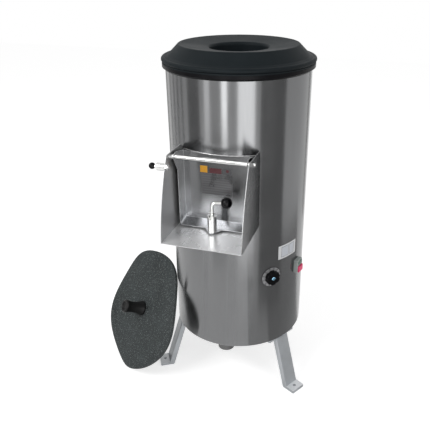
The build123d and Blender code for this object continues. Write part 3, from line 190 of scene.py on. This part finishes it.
class Shader(NodeTree):
    """One material, whose nodes all lead to one surface."""

    def __init__(self, name, colour, metallic=0.0, roughness=0.5, **sockets):
        self.material = bpy.data.materials.new(name)
        self.material.use_nodes = True
        super().__init__(self.material.node_tree)
        self.surface = self.tree.nodes["Principled BSDF"]
        self.normal = None
        self.set(Base_Color=colour, Metallic=metallic, Roughness=roughness, **sockets)

    def set(self, **sockets):
        """Feeds the surface; _ stands for a space in a socket's name."""
        for socket, value in sockets.items():
            self.feed(self.surface.inputs[socket.replace("_", " ")], value)

    def bump(self, height, depth):
        """Adds a bump, with its depth in metres, on top of those before it."""
        inputs = {"Distance": depth, "Height": height}
        if self.normal is not None:
            inputs["Normal"] = self.normal
        self.normal = self.node("Bump", inputs).outputs["Normal"]
        self.set(Normal=self.normal)


# ------------------------------------------------------------------ metals, plastics and grit
BRUSH_SCALE = 900.0
BRUSH_DEPTH = 0.000002
BRUSH_IN_SHEEN = 0.15           # share of the brushing in a sheet's sheen; the rest is smudges
SMUDGE_SCALE = 9.0
SMUDGE_IN_TONE = 0.35           # share of the smudges in a sheet's tone; the rest is brushing
WAVE_SCALE = 15.0
WAVE_STRETCH = (1, 1, 0.15)
BLUR = 0.75                     # strength of the upright blur, from 0 to 1
BLUR_TURN = 0.25                # of a whole turn
# Painted highlight: rounded sheet edges get a light tone, as if they caught the light.
EDGE_RADIUS = 0.0018            # painted highlight on the edges of the sheet pieces
EDGE_SAMPLES = 6
EDGE_TURN = (0.80, 0.985)       # cosine between the rounded and the flat normal, from full painted highlight to none
EDGE_HIGHLIGHT_TONE = (0.80, 0.81, 0.82)
EDGE_HIGHLIGHT_METAL = 0.3                # share of its metallic look that an edge keeps under the painted highlight
# Painted reflection: the door is painted lighter towards its foot, where the steel mirrors the bright tray
# below it; a slow noise makes the border uneven.
PAINTED_REFLECTION_TONE = (0.40, 0.405, 0.415)
PAINTED_REFLECTION_BLOT_SCALE = 16.0
PAINTED_REFLECTION_BLOT_STRETCH = (1, 1, 0.6)
PAINTED_REFLECTION_BLOT_REACH = 0.03

POLISH_SMUDGE_SCALE = 60.0
POLISH_SMUDGE_TONE = 0.88       # of the full tone
POLISH_LINE_SCALE = 1500.0
POLISH_LINE_STRETCH = (1, 1, 0.02)
POLISH_LINE_DEPTH = 0.00001

MOULD_CLOUD_SCALE = 14.0
MOULD_CLOUD_RANGE = (0.3, 0.75)
MOULD_LIGHT_FACTOR = 1.25       # the lighter tone is the tone times this, plus the lift
MOULD_LIGHT_LIFT = 0.004

CAST_PEBBLE_SCALE = 420.0
CAST_PEBBLE_DEPTH = 0.00012
CAST_CLOUD_SCALE = 16.0
CAST_CLOUD_TONES = (0.88, 1.06) # of the full tone
PAINTED_TOP_LIGHT_RANGE = (0.85, 1.0)  # upward part of a face's normal, from none of the painted top light to all of it

GRAIN_SCALE = 820.0
GRAIN_DEPTH = -0.0012           # the middle of a grain stands out
GRAIN_TONES = (0.75, 1.25)      # of the stone's tone
GRAIN_SPARKLE = (0.950, 0.975)  # chance value from which a grain is bright
STONE_CLOUD_SCALE = 18.0
STONE_CLOUD_ROUGHNESS = 0.65
STONE_CLOUD = ((0.3, 0.7), (0.55, 1.0), (0.8, 1.5))  # place in the noise, and share of the full tone
DUST_SCALE = 1500.0
DUST_DEPTH = 0.0003


def brushed_steel(
    name, colour, stretch, rough, metallic=1.0, streak=0.07, edges=0.0, painted_reflection=None, wave=0.0, blurred=False
):
    """Sheet steel with fine brushing along one way, faint cloudy handling marks, and a painted
    highlight on its edges.

    rough is the range of its roughness, streak how far its tone goes to either side, and edges how strong
    the painted highlight on its edges is. A pair of heights for a painted reflection makes the sheet lighter
    from the first height down to the second. wave is the depth of slow upright waves, and blurred draws
    mirror images out upright.
    """
    steel = Shader(name, colour, metallic=metallic, roughness=rough[0])
    fine = steel.noise(BRUSH_SCALE, stretch, detail=2.0)
    cloud = steel.noise(SMUDGE_SCALE, detail=4.0)
    dark = scaled(colour, 1 - streak)
    light = tuple(min(1.0, part) for part in scaled(colour, 1 + streak))
    brushed = steel.mix(steel.spread(fine, 0.0, 1.0), dark, light)
    smudged = steel.ramp(cloud, *zip(NOISE_RANGE, (dark, light)))
    tone = steel.mix(SMUDGE_IN_TONE, brushed, smudged)
    if blurred:
        ring = steel.node("Tangent", direction_type="RADIAL", axis="Z")
        steel.set(Anisotropic=BLUR, Anisotropic_Rotation=BLUR_TURN, Tangent=ring.outputs["Tangent"])
    # painted reflection: the sheet gets lighter towards its foot
    if painted_reflection:
        reflection_blot = steel.noise(PAINTED_REFLECTION_BLOT_SCALE, PAINTED_REFLECTION_BLOT_STRETCH, detail=1.5)
        uneven = steel.spread(reflection_blot, -PAINTED_REFLECTION_BLOT_REACH, PAINTED_REFLECTION_BLOT_REACH)
        up = steel.math("ADD", steel.along(UP, ORIGIN), uneven)
        tone = steel.mix(steel.spread(up, 0.0, 1.0, painted_reflection), tone, PAINTED_REFLECTION_TONE)
    # painted highlight: a light tone and less metal on the rounded edges
    if edges:
        rounded = steel.node("Bevel", {"Radius": EDGE_RADIUS}, samples=EDGE_SAMPLES)
        flat = steel.node("NewGeometry")
        turn = steel.dot(rounded.outputs["Normal"], flat.outputs["Normal"])
        painted_edge_highlight = steel.spread(turn, edges, 0.0, EDGE_TURN)
        tone = steel.mix(painted_edge_highlight, tone, EDGE_HIGHLIGHT_TONE)
        steel.set(Metallic=steel.spread(painted_edge_highlight, metallic, EDGE_HIGHLIGHT_METAL * metallic, FULL_RANGE))
    sheen = steel.mix(BRUSH_IN_SHEEN, cloud, fine)
    steel.set(Base_Color=tone, Roughness=steel.spread(sheen, *rough))
    steel.bump(fine, BRUSH_DEPTH)
    if wave:
        steel.bump(steel.noise(WAVE_SCALE, WAVE_STRETCH, detail=1.0), wave)
    return steel.material


def polished_steel(name, colour, rough):
    """Bright turned or drawn steel with light smudges."""
    steel = Shader(name, colour, metallic=1.0, roughness=rough[0])
    cloud = steel.noise(POLISH_SMUDGE_SCALE, detail=4.0)
    lines = steel.noise(POLISH_LINE_SCALE, POLISH_LINE_STRETCH, detail=1.0)
    tone = steel.ramp(cloud, *zip(NOISE_RANGE, (scaled(colour, POLISH_SMUDGE_TONE), colour)))
    steel.set(Base_Color=tone, Roughness=steel.spread(cloud, *rough))
    steel.bump(lines, POLISH_LINE_DEPTH)
    return steel.material


def moulded(name, colour, rough, grain=900.0, depth=0.00006, specular=0.5):
    """Moulded plastic or rubber with a fine grain and slightly uneven sheen."""
    plastic = Shader(name, colour, roughness=rough[0], Specular_IOR_Level=specular)
    fine = plastic.noise(grain)
    cloud = plastic.noise(MOULD_CLOUD_SCALE, detail=4.0)
    light = tuple(MOULD_LIGHT_FACTOR * part + MOULD_LIGHT_LIFT for part in colour)
    tone = plastic.ramp(cloud, *zip(MOULD_CLOUD_RANGE, (colour, light)))
    plastic.set(Base_Color=tone, Roughness=plastic.spread(cloud, *rough))
    plastic.bump(fine, depth)
    return plastic.material


def cast_metal(name, colour, metallic, rough, painted_top_light=None):
    """Cast or painted metal with a pebbled skin; the last tone is painted light on faces that look up."""
    metal = Shader(name, colour, metallic=metallic, roughness=rough[0])
    pebble = metal.noise(CAST_PEBBLE_SCALE)
    cloud = metal.noise(CAST_CLOUD_SCALE, detail=5.0)
    tone = metal.ramp(cloud, *zip(NOISE_RANGE, (scaled(colour, share) for share in CAST_CLOUD_TONES)))
    # painted light: faces that look up get a lighter tone, as light falls from above
    if painted_top_light:
        facing = metal.node("SeparateXYZ", {"Vector": metal.node("NewGeometry").outputs["Normal"]})
        tone = metal.mix(metal.spread(facing.outputs["Z"], 0.0, 1.0, PAINTED_TOP_LIGHT_RANGE), tone, painted_top_light)
    metal.set(Base_Color=tone, Roughness=metal.spread(cloud, *rough))
    metal.bump(pebble, CAST_PEBBLE_DEPTH)
    return metal.material


def abrasive_grit(name, colour, speck):
    """Dark stone grit bonded on the disc, with a scatter of bright grains."""
    grit = Shader(name, colour, roughness=0.85)
    grains = grit.node("TexVoronoi", {"Scale": GRAIN_SCALE, "Vector": grit.place()}, feature="F1")
    chance = grit.node("SeparateColor", {"Color": grains.outputs["Color"]})
    cloud = grit.noise(STONE_CLOUD_SCALE, detail=5.0, rough=STONE_CLOUD_ROUGHNESS)
    stone = grit.ramp(cloud, *((position, scaled(colour, share)) for position, share in STONE_CLOUD))
    grain_tone = grit.ramp(chance.outputs["Green"], *zip(FULL_RANGE, GRAIN_TONES))
    stone = grit.mix(1.0, stone, grain_tone, "MULTIPLY")
    sparkle = grit.ramp(chance.outputs["Red"], *zip(GRAIN_SPARKLE, FULL_RANGE))
    grit.set(Base_Color=grit.mix(sparkle, stone, speck))
    grit.bump(grains.outputs["Distance"], GRAIN_DEPTH)
    grit.bump(grit.noise(DUST_SCALE, detail=2.0), DUST_DEPTH)
    return grit.material


# ------------------------------------------------------------------ printed pieces
PRINT_DEPTH = 0.00002
PLATE_MARGIN = 0.0015
PLATE_BORDER = 0.0006
PLATE_INK = 0.45                # share of the plate's tone that ink leaves
PLATE_BRUSH_STRETCH = (0.02, 1, 1)
PLATE_BRUSH_DEPTH = 0.000004
PLATE_SHEEN_SCALE = 30.0
PLATE_SHEEN = (0.24, 0.36)
LINE_PITCH = 0.0066
LINE_BAND = (0.3, 0.62)         # part of each pitch that a line fills
LINE_INK = 0.45                 # the lines are fainter than the border
PATCH_MIDDLE = (-0.027, 0.0115) # the middle patch, between the yellow and the grey one
PATCH_DOT = 0.0255
PATCH_DOT_RADIUS = 0.0042
PATCH_YELLOW = (0.86, 0.40, 0.005)
PATCH_RED = (0.085, 0.004, 0.010)
PATCH_GREY = (0.07, 0.07, 0.075)
LABEL_AZIMUTH = -28.7
LABEL_BOXES = ((-0.0255, 0.0035), (0.0065, 0.0275))
LABEL_MARGIN = 0.005
LABEL_BORDER = 0.0011
LABEL_WHITE = (0.80, 0.81, 0.82)
LABEL_FILL = (0.66, 0.69, 0.74)
LABEL_INK = (0.10, 0.11, 0.15)
TIMER_AZIMUTH = -45.4
DIAL_MARKS = 12
DIAL_MARK_BAND = (0.40, 0.60)   # part of each mark's share of the turn that is dark
DIAL_MARK_REACH = (0.76, 0.93)  # of the dial's radius
DIAL_EDGE = 0.95                # of the dial's radius
DIAL_INK = (0.04, 0.04, 0.045)


def worn_print(piece, tone, wear_scale, wear, sheen_scale, sheen, grain_scale, wear_detail=4.0):
    """Finishes a printed piece: cloudy wear over its tone, an uneven sheen and a fine grain."""
    cloud = piece.ramp(piece.noise(wear_scale, detail=wear_detail), *zip(NOISE_RANGE, wear))
    piece.set(Base_Color=piece.mix(1.0, tone, cloud, "MULTIPLY"))
    piece.set(Roughness=piece.spread(piece.noise(sheen_scale), *sheen))
    piece.bump(piece.noise(grain_scale), PRINT_DEPTH)
    return piece.material


def printed_plate(name, colour, node):
    """Thin metal plate with a border and rows of plain lines."""
    low, high = corners_of(node)
    half = (high.x - low.x) / 2 - PLATE_MARGIN
    top = high.z - low.z - PLATE_MARGIN
    plate = Shader(name, colour, metallic=1.0, roughness=0.3)
    across = plate.along(RIGHT, (low + high) / 2)
    up = plate.along(UP, low)
    row = plate.math("FRACT", plate.math("DIVIDE", up, LINE_PITCH))
    lines = plate.inside(row, *LINE_BAND)
    rows = plate.area(across, up, 2 * PLATE_MARGIN - half, half - 2 * PLATE_MARGIN, 2 * PLATE_MARGIN, top)
    lines = plate.math("MULTIPLY", lines, rows)
    frame_line = plate.border(across, up, -half, half, PLATE_MARGIN, top, PLATE_BORDER)
    ink = plate.math("MAXIMUM", plate.math("MULTIPLY", lines, LINE_INK), frame_line)
    plate.set(Base_Color=plate.mix(ink, colour, scaled(colour, PLATE_INK)))
    plate.bump(plate.noise(BRUSH_SCALE, PLATE_BRUSH_STRETCH, detail=2.0), PLATE_BRUSH_DEPTH)
    plate.set(Roughness=plate.spread(plate.noise(PLATE_SHEEN_SCALE), *PLATE_SHEEN))
    return plate.material


def colour_patches(name, node):
    """Three plain patches told apart by where they sit: yellow, dark red, and grey with a red dot."""
    low, high = corners_of(node)
    patches = Shader(name, PATCH_GREY, roughness=0.4)
    across = patches.along(RIGHT, ORIGIN)
    up = patches.along(UP, low)
    dot_across = patches.math("SUBTRACT", across, PATCH_DOT)
    dot_up = patches.math("SUBTRACT", up, (high.z - low.z) / 2)
    reach = patches.math(
        "ADD", patches.math("MULTIPLY", dot_across, dot_across), patches.math("MULTIPLY", dot_up, dot_up)
    )
    tone = patches.mix(patches.math("LESS_THAN", reach, PATCH_DOT_RADIUS ** 2), PATCH_GREY, PATCH_RED)
    tone = patches.mix(patches.inside(across, *PATCH_MIDDLE), tone, PATCH_RED)
    tone = patches.mix(patches.math("LESS_THAN", across, PATCH_MIDDLE[0]), tone, PATCH_YELLOW)
    return worn_print(
        patches, tone, wear_scale=220.0, wear=(0.86, 1.06), wear_detail=3.0,
        sheen_scale=60.0, sheen=(0.32, 0.5), grain_scale=700.0,
    )


def side_label(name, node):
    """White label with two plain framed boxes."""
    low, high = corners_of(node)
    middle = (low + high) / 2
    half_height = (high.z - low.z) / 2
    label = Shader(name, LABEL_WHITE, roughness=0.4)
    across = label.along(round_the_drum(LABEL_AZIMUTH), middle)
    up = label.along(UP, middle)
    frames, fills = [], []
    for left, right in LABEL_BOXES:
        edges = (left, right, LABEL_MARGIN - half_height, half_height - LABEL_MARGIN)
        frames.append(label.border(across, up, *edges, LABEL_BORDER))
        fills.append(label.area(across, up, *edges))
    tone = label.mix(label.math("MAXIMUM", *fills), LABEL_WHITE, LABEL_FILL)
    tone = label.mix(label.math("MAXIMUM", *frames), tone, LABEL_INK)
    return worn_print(
        label, tone, wear_scale=40.0, wear=(0.93, 1.0),
        sheen_scale=80.0, sheen=(0.32, 0.48), grain_scale=600.0,
    )


def dial_face(name, colour, node):
    """Light ring with dark marks round it and a dark outer edge."""
    low, high = corners_of(node)
    middle = (low + high) / 2
    radius = (high.z - low.z) / 2
    dial = Shader(name, colour, metallic=0.5, roughness=0.4)
    across = dial.along(round_the_drum(TIMER_AZIMUTH), middle)
    up = dial.along(UP, middle)
    reach = dial.math("SQRT", dial.math("ADD", dial.math("POWER", across, 2.0), dial.math("POWER", up, 2.0)))
    turn = dial.math("MULTIPLY", dial.math("ARCTAN2", up, across), DIAL_MARKS / (2 * math.pi))
    marks = dial.inside(dial.math("FRACT", dial.math("ADD", turn, DIAL_MARKS)), *DIAL_MARK_BAND)
    marks = dial.math("MULTIPLY", marks, dial.inside(reach, *scaled(DIAL_MARK_REACH, radius)))
    ink = dial.math("MAXIMUM", marks, dial.math("GREATER_THAN", reach, DIAL_EDGE * radius))
    return worn_print(
        dial, dial.mix(ink, colour, DIAL_INK), wear_scale=90.0, wear=(0.88, 1.05),
        sheen_scale=60.0, sheen=(0.32, 0.48), grain_scale=900.0,
    )


# ------------------------------------------------------------------ finishes
VERTICAL = (1, 1, 0.012)        # brushing that runs up and down
DOWN_CHUTE = (1, 0.012, 1)

finish = {
    # edges sets a painted highlight on the rounded edges of the sheet pieces.
    "stainless": brushed_steel(
        "stainless", (0.170, 0.172, 0.175), VERTICAL, (0.16, 0.26), edges=0.4, wave=0.0005, blurred=True
    ),
    # The chute tray and the left cheek are the drum's steel in much lighter tones and less metal: painted
    # light, so they look brightly lit.
    "chute": brushed_steel(
        "chute", (0.90, 0.905, 0.915), DOWN_CHUTE, (0.24, 0.34), metallic=0.5, streak=0.02, edges=0.8
    ),
    # The door's foot is painted lighter: a painted reflection.
    "door": brushed_steel(
        "door", (0.19, 0.192, 0.195), VERTICAL, (0.16, 0.24),
        streak=0.02, edges=0.8, painted_reflection=(0.70, 0.61), blurred=True,
    ),
    "cheek": brushed_steel(
        "cheek", (0.44, 0.443, 0.447), VERTICAL, (0.34, 0.44), metallic=0.7, streak=0.03, edges=0.9
    ),
    "right_cheek": brushed_steel(
        "right_cheek", (0.17, 0.172, 0.175), VERTICAL, (0.20, 0.30), streak=0.02, edges=0.9
    ),
    "machined": brushed_steel("machined", (0.45, 0.45, 0.45), EVEN, (0.25, 0.4)),
    "drain": brushed_steel("drain", (0.12, 0.12, 0.12), EVEN, (0.3, 0.45)),
    "polished": polished_steel("polished", (0.72, 0.72, 0.71), (0.06, 0.16)),
    "lip": polished_steel("lip", (0.60, 0.60, 0.60), (0.2, 0.3)),
    # A light-blue polished diamond for the timer knob: a painted glint.
    "painted_glint": polished_steel("painted_glint", (0.35, 0.66, 0.88), (0.1, 0.2)),
    "rim": moulded("rim", (0.005, 0.005, 0.006), (0.25, 0.35), specular=0.06),
    "lid": moulded("lid", (0.006, 0.0095, 0.0115), (0.5, 0.62), grain=500.0, depth=0.00012, specular=0.1),
    "grip": moulded("grip", (0.008, 0.008, 0.008), (0.3, 0.45), specular=0.15),
    "ball": moulded("ball", (0.002, 0.002, 0.003), (0.03, 0.06), grain=200.0, depth=0.000005, specular=0.14),
    "belt": moulded("belt", (0.02, 0.02, 0.02), (0.6, 0.8), grain=300.0, depth=0.0003),
    "knob": moulded("knob", (0.003, 0.003, 0.004), (0.12, 0.22), specular=0.10),
    "switch": moulded("switch", (0.33, 0.36, 0.35), (0.45, 0.6)),
    "start": moulded("start", (0.15, 0.22, 0.18), (0.35, 0.5)),
    "stop": moulded("stop", (0.78, 0.05, 0.16), (0.3, 0.42)),
    "body_plastic": moulded("body_plastic", (0.06, 0.06, 0.065), (0.45, 0.6)),
    # The legs' faces that look up, the pads above all, get painted light.
    "leg": cast_metal("leg", (0.44, 0.46, 0.48), 0.45, (0.35, 0.5), painted_top_light=(0.74, 0.76, 0.78)),
    "iron": cast_metal("iron", (0.16, 0.16, 0.17), 0.8, (0.45, 0.6)),
    "motor": cast_metal("motor", (0.07, 0.10, 0.13), 0.0, (0.35, 0.5)),
    "grit": abrasive_grit("grit", (0.030, 0.038, 0.039), (0.30, 0.34, 0.33)),
    "plate": printed_plate("plate", (0.17, 0.17, 0.175), "door_text_plate"),
    "patches": colour_patches("patches", "door_patches"),
    "label": side_label("label", "side_label"),
    "dial": dial_face("dial", (0.40, 0.40, 0.41), "dial_plate"),
}

finish_nodes = {
    "stainless": "drum_shell base_plate chamber_floor",
    "chute": "chute_tray",
    "door": "door_pan",
    "cheek": "chute_left_cheek",
    "right_cheek": "chute_right_cheek",
    "machined": "main_shaft drive_hub motor_shaft bearing_outer_rings bearing_inner_rings bearing_balls"
    " leg_fasteners housing_bolts motor_bolts plunger_spring motor_plate",
    "drain": "drain_pipe",
    "polished": "hinge_rod hinge_tube hinge_nuts hinge_spacers latch_sleeve latch_rod latch_cross_pin"
    " latch_washer plunger_sleeve plunger_pin plunger_nut inlet_pipe timer_spindle",
    "rim": "rim_collar",
    "lid": "lid",
    "grip": "disc_handle spare_disc_handle",
    "ball": "latch_ball plunger_ball",
    "belt": "v_belt shaft_seal",
    "knob": "timer_knob",
    "switch": "switch_housing",
    "start": "start_button",
    "stop": "stop_button",
    "body_plastic": "timer_body contact_block cable_gland",
    "leg": "leg_left leg_right leg_back",
    "iron": "bearing_housing driven_pulley motor_pulley",
    "motor": "motor_body",
    "grit": "abrasive_disc spare_disc",
    "plate": "door_text_plate",
    "patches": "door_patches",
    "label": "side_label",
    "dial": "dial_plate",
}

for kind, names in finish_nodes.items():
    for name in names.split():
        for slot in nodes[name].material_slots:
            slot.material = finish[kind]

# ------------------------------------------------------------------ floor and background
FLOOR_SIZE = 6.0
FLOOR_DROP = 0.0005             # keeps the floor off the feet's undersides
FLOOR_GLOW = 0.62               # brings the lit floor up to white and leaves the shadow on it
WORLD_LIGHT = 0.45

floor_mesh = bpy.data.meshes.new("floor")
floor_grid = bmesh.new()
bmesh.ops.create_grid(floor_grid, x_segments=1, y_segments=1, size=FLOOR_SIZE)
floor_grid.to_mesh(floor_mesh)
floor_grid.free()
floor = bpy.data.objects.new("floor", floor_mesh)
floor.location = (0, 0, -FLOOR_DROP)
scene.collection.objects.link(floor)
paper = Shader("paper", (0.8, 0.8, 0.8), roughness=0.95, Specular_IOR_Level=0.0, Emission_Color=WHITE)
paper.set(Emission_Strength=paper.spread(paper.seen_directly(), 0.0, FLOOR_GLOW, FULL_RANGE))
floor_mesh.materials.append(paper.material)

world = bpy.data.worlds.new("studio")
world.use_nodes = True
scene.world = world
room = NodeTree(world.node_tree)
background = world.node_tree.nodes["Background"]
room.feed(background.inputs["Color"], WHITE)
room.feed(background.inputs["Strength"], room.spread(room.seen_directly(), WORLD_LIGHT, 1.0, FULL_RANGE))

# ------------------------------------------------------------------ lamps
LAMP_TARGET = (0, 0, 0.5)


def softbox(name, place, size, power):
    """Area lamp that points at the drum; its power is in watts."""
    data = bpy.data.lights.new(name, "AREA")
    data.shape = "RECTANGLE"
    data.size, data.size_y = size
    data.energy = power
    lamp = bpy.data.objects.new(name, data)
    lamp.location = place
    aim = Vector(LAMP_TARGET) - Vector(place)
    lamp.rotation_euler = aim.to_track_quat("-Z", "Y").to_euler()
    lamp.visible_camera = False
    scene.collection.objects.link(lamp)


softbox("key", place=(-1.4, -2.0, 2.4), size=(1.4, 1.0), power=40)
softbox("fill", place=(2.2, -1.2, 1.6), size=(0.8, 1.6), power=12)

# ------------------------------------------------------------------ cards that the metal mirrors
CARD_TOP = 1.3
DOOR_VIEW_TOP = 0.43            # the door mirrors what lies below this, the upper drum what lies above
WHOLE = (0.0, CARD_TOP)
UPPER = (DOOR_VIEW_TOP, CARD_TOP)
LOWER = (0.0, DOOR_VIEW_TOP)
STRIPES_LEFT = (160.5, 173.0, -176.5, -166.5)
FLOOR_CARD_REACH = (0.22, 1.2)  # from the drum's axis


def mirror_card(name, corners, azimuth, place, strength):
    """Card that only mirrors and steel see: a light strip, or a dark flag below the white of the room."""
    mesh = bpy.data.meshes.new(name)
    mesh.from_pydata(corners, [], [(0, 1, 2, 3)])
    board = bpy.data.objects.new(name, mesh)
    board.location = place
    board.rotation_euler = (0, 0, math.radians(azimuth))
    scene.collection.objects.link(board)
    board.visible_camera = False
    board.visible_diffuse = False
    board.visible_shadow = False
    paint = Shader(
        name, BLACK, roughness=1.0, Specular_IOR_Level=0.0, Emission_Color=WHITE, Emission_Strength=strength
    )
    mesh.materials.append(paint.material)


def card(name, azimuth, span, heights, strength, distance=1.25):
    """Upright card that spans an angle seen from the drum's axis."""
    half = distance * math.tan(math.radians(span / 2))
    low, high = heights
    corners = [(0, -half, low), (0, half, low), (0, half, high), (0, -half, high)]
    mirror_card(name, corners, azimuth, scaled(out_of_the_drum(azimuth), distance), strength)


def floor_card(name, azimuth, span, strength, height):
    """Card just above the floor that spans an angle seen from the drum's axis."""
    slope = math.tan(math.radians(span / 2))
    near, far = FLOOR_CARD_REACH
    corners = [
        (near, -near * slope, 0), (far, -far * slope, 0), (far, far * slope, 0), (near, near * slope, 0)
    ]
    mirror_card(name, corners, azimuth, (0, 0, height), strength)


for number, stripe_azimuth in enumerate(STRIPES_LEFT):
    card(f"stripe_{number}", stripe_azimuth, 3, WHOLE, 0.15, distance=1.3)
# Name, azimuth, span in degrees, heights and strength.
card("edge_left", 136, 18, WHOLE, 0.45)
card("edge_right", 62, 8, WHOLE, 0.4)
card("strip_left", -94, 8, UPPER, 5.2)
card("strip_front", -63, 24, WHOLE, 3.8)
card("strip_far_left", -120, 8, UPPER, 2.4)
card("flag_door", -103, 22, LOWER, 0.1)
card("flag_left", -143, 22, WHOLE, 0.4)
card("flag_right", -26, 38, WHOLE, 0.35, distance=0.62)
# Name, azimuth, span in degrees and strength. Cards that overlap lie at different heights.
floor_card("floor_right", 5, 70, 0.5, height=0.002)
floor_card("floor_front", -45, 30, 0.8, height=0.003)
floor_card("streak_front", -85, 12, 1.25, height=0.004)
floor_card("streak_left", -127, 8, 1.2, height=0.004)

# ------------------------------------------------------------------ small formed details
LIP_AZIMUTHS = (-121.5, -58.5)  # from one cheek to the other
LIP_HEIGHT = 0.7831             # the upper edge of the drum's mouth
LIP_REACH = 0.2003              # from the drum's axis
LIP_RADIUS = 0.0011
LIP_SIDES = 8
LIP_STEPS = 72
PAINTED_GLINT_HALF = 0.0062             # half the width of the knob's light-blue diamond, a painted glint
PAINTED_GLINT_RISE = 0.0004
PAINTED_GLINT_BEVEL = 0.0010


def skin(name, rings, smooth):
    """Object with a closed skin through rings of points, which all have as many points."""
    built = bmesh.new()
    rows = [[built.verts.new(point) for point in ring] for ring in rings]
    for one, two in zip(rows, rows[1:]):
        for side in range(len(one)):
            after = (side + 1) % len(one)
            built.faces.new((one[side], two[side], two[after], one[after]))
    built.faces.new(rows[0])
    built.faces.new(reversed(rows[-1]))
    bmesh.ops.recalc_face_normals(built, faces=built.faces)
    mesh = bpy.data.meshes.new(name)
    built.to_mesh(mesh)
    built.free()
    if smooth:
        mesh.shade_smooth()
    made = bpy.data.objects.new(name, mesh)
    scene.collection.objects.link(made)
    return made


def mouth_bead(name):
    """Round bead along the upper edge of the drum's mouth, with closed ends."""
    first, last = LIP_AZIMUTHS
    rings = []
    for step in range(LIP_STEPS + 1):
        outward = Vector(out_of_the_drum(first + (last - first) * step / LIP_STEPS))
        turns = (2 * math.pi * side / LIP_SIDES for side in range(LIP_SIDES))
        rings.append([
            outward * (LIP_REACH + LIP_RADIUS * math.cos(turn))
            + Vector(UP) * (LIP_HEIGHT + LIP_RADIUS * math.sin(turn))
            for turn in turns
        ])
    return skin(name, rings, smooth=True)


def knob_painted_glint(name, node, azimuth):
    """Thin diamond with bevelled edges on the front face of a knob, which stands for a painted glint."""
    outward = Vector(out_of_the_drum(azimuth))
    across = Vector(round_the_drum(azimuth))
    up = Vector(UP)
    low, high = corners_of(node)
    middle = (low + high) / 2
    face = max(outward.dot(corner.co) for corner in nodes[node].data.vertices)
    centre = outward * face + across * across.dot(middle) + up * middle.z
    rings = []
    for half, rise in ((PAINTED_GLINT_HALF, -PAINTED_GLINT_RISE), (PAINTED_GLINT_HALF, 0), (PAINTED_GLINT_HALF - PAINTED_GLINT_BEVEL, PAINTED_GLINT_RISE)):
        tips = ((half, 0), (0, half), (-half, 0), (0, -half))
        rings.append([centre + across * x + up * z + outward * rise for x, z in tips])
    return skin(name, rings, smooth=False)


mouth_lip = mouth_bead("mouth_lip")
mouth_lip.data.materials.append(finish["lip"])
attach(mouth_lip, "machine")
# A light-blue diamond on the timer knob's face: a painted glint.
timer_painted_glint = knob_painted_glint("timer_painted_glint", "timer_knob", TIMER_AZIMUTH)
timer_painted_glint.data.materials.append(finish["painted_glint"])
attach(timer_painted_glint, "timer")
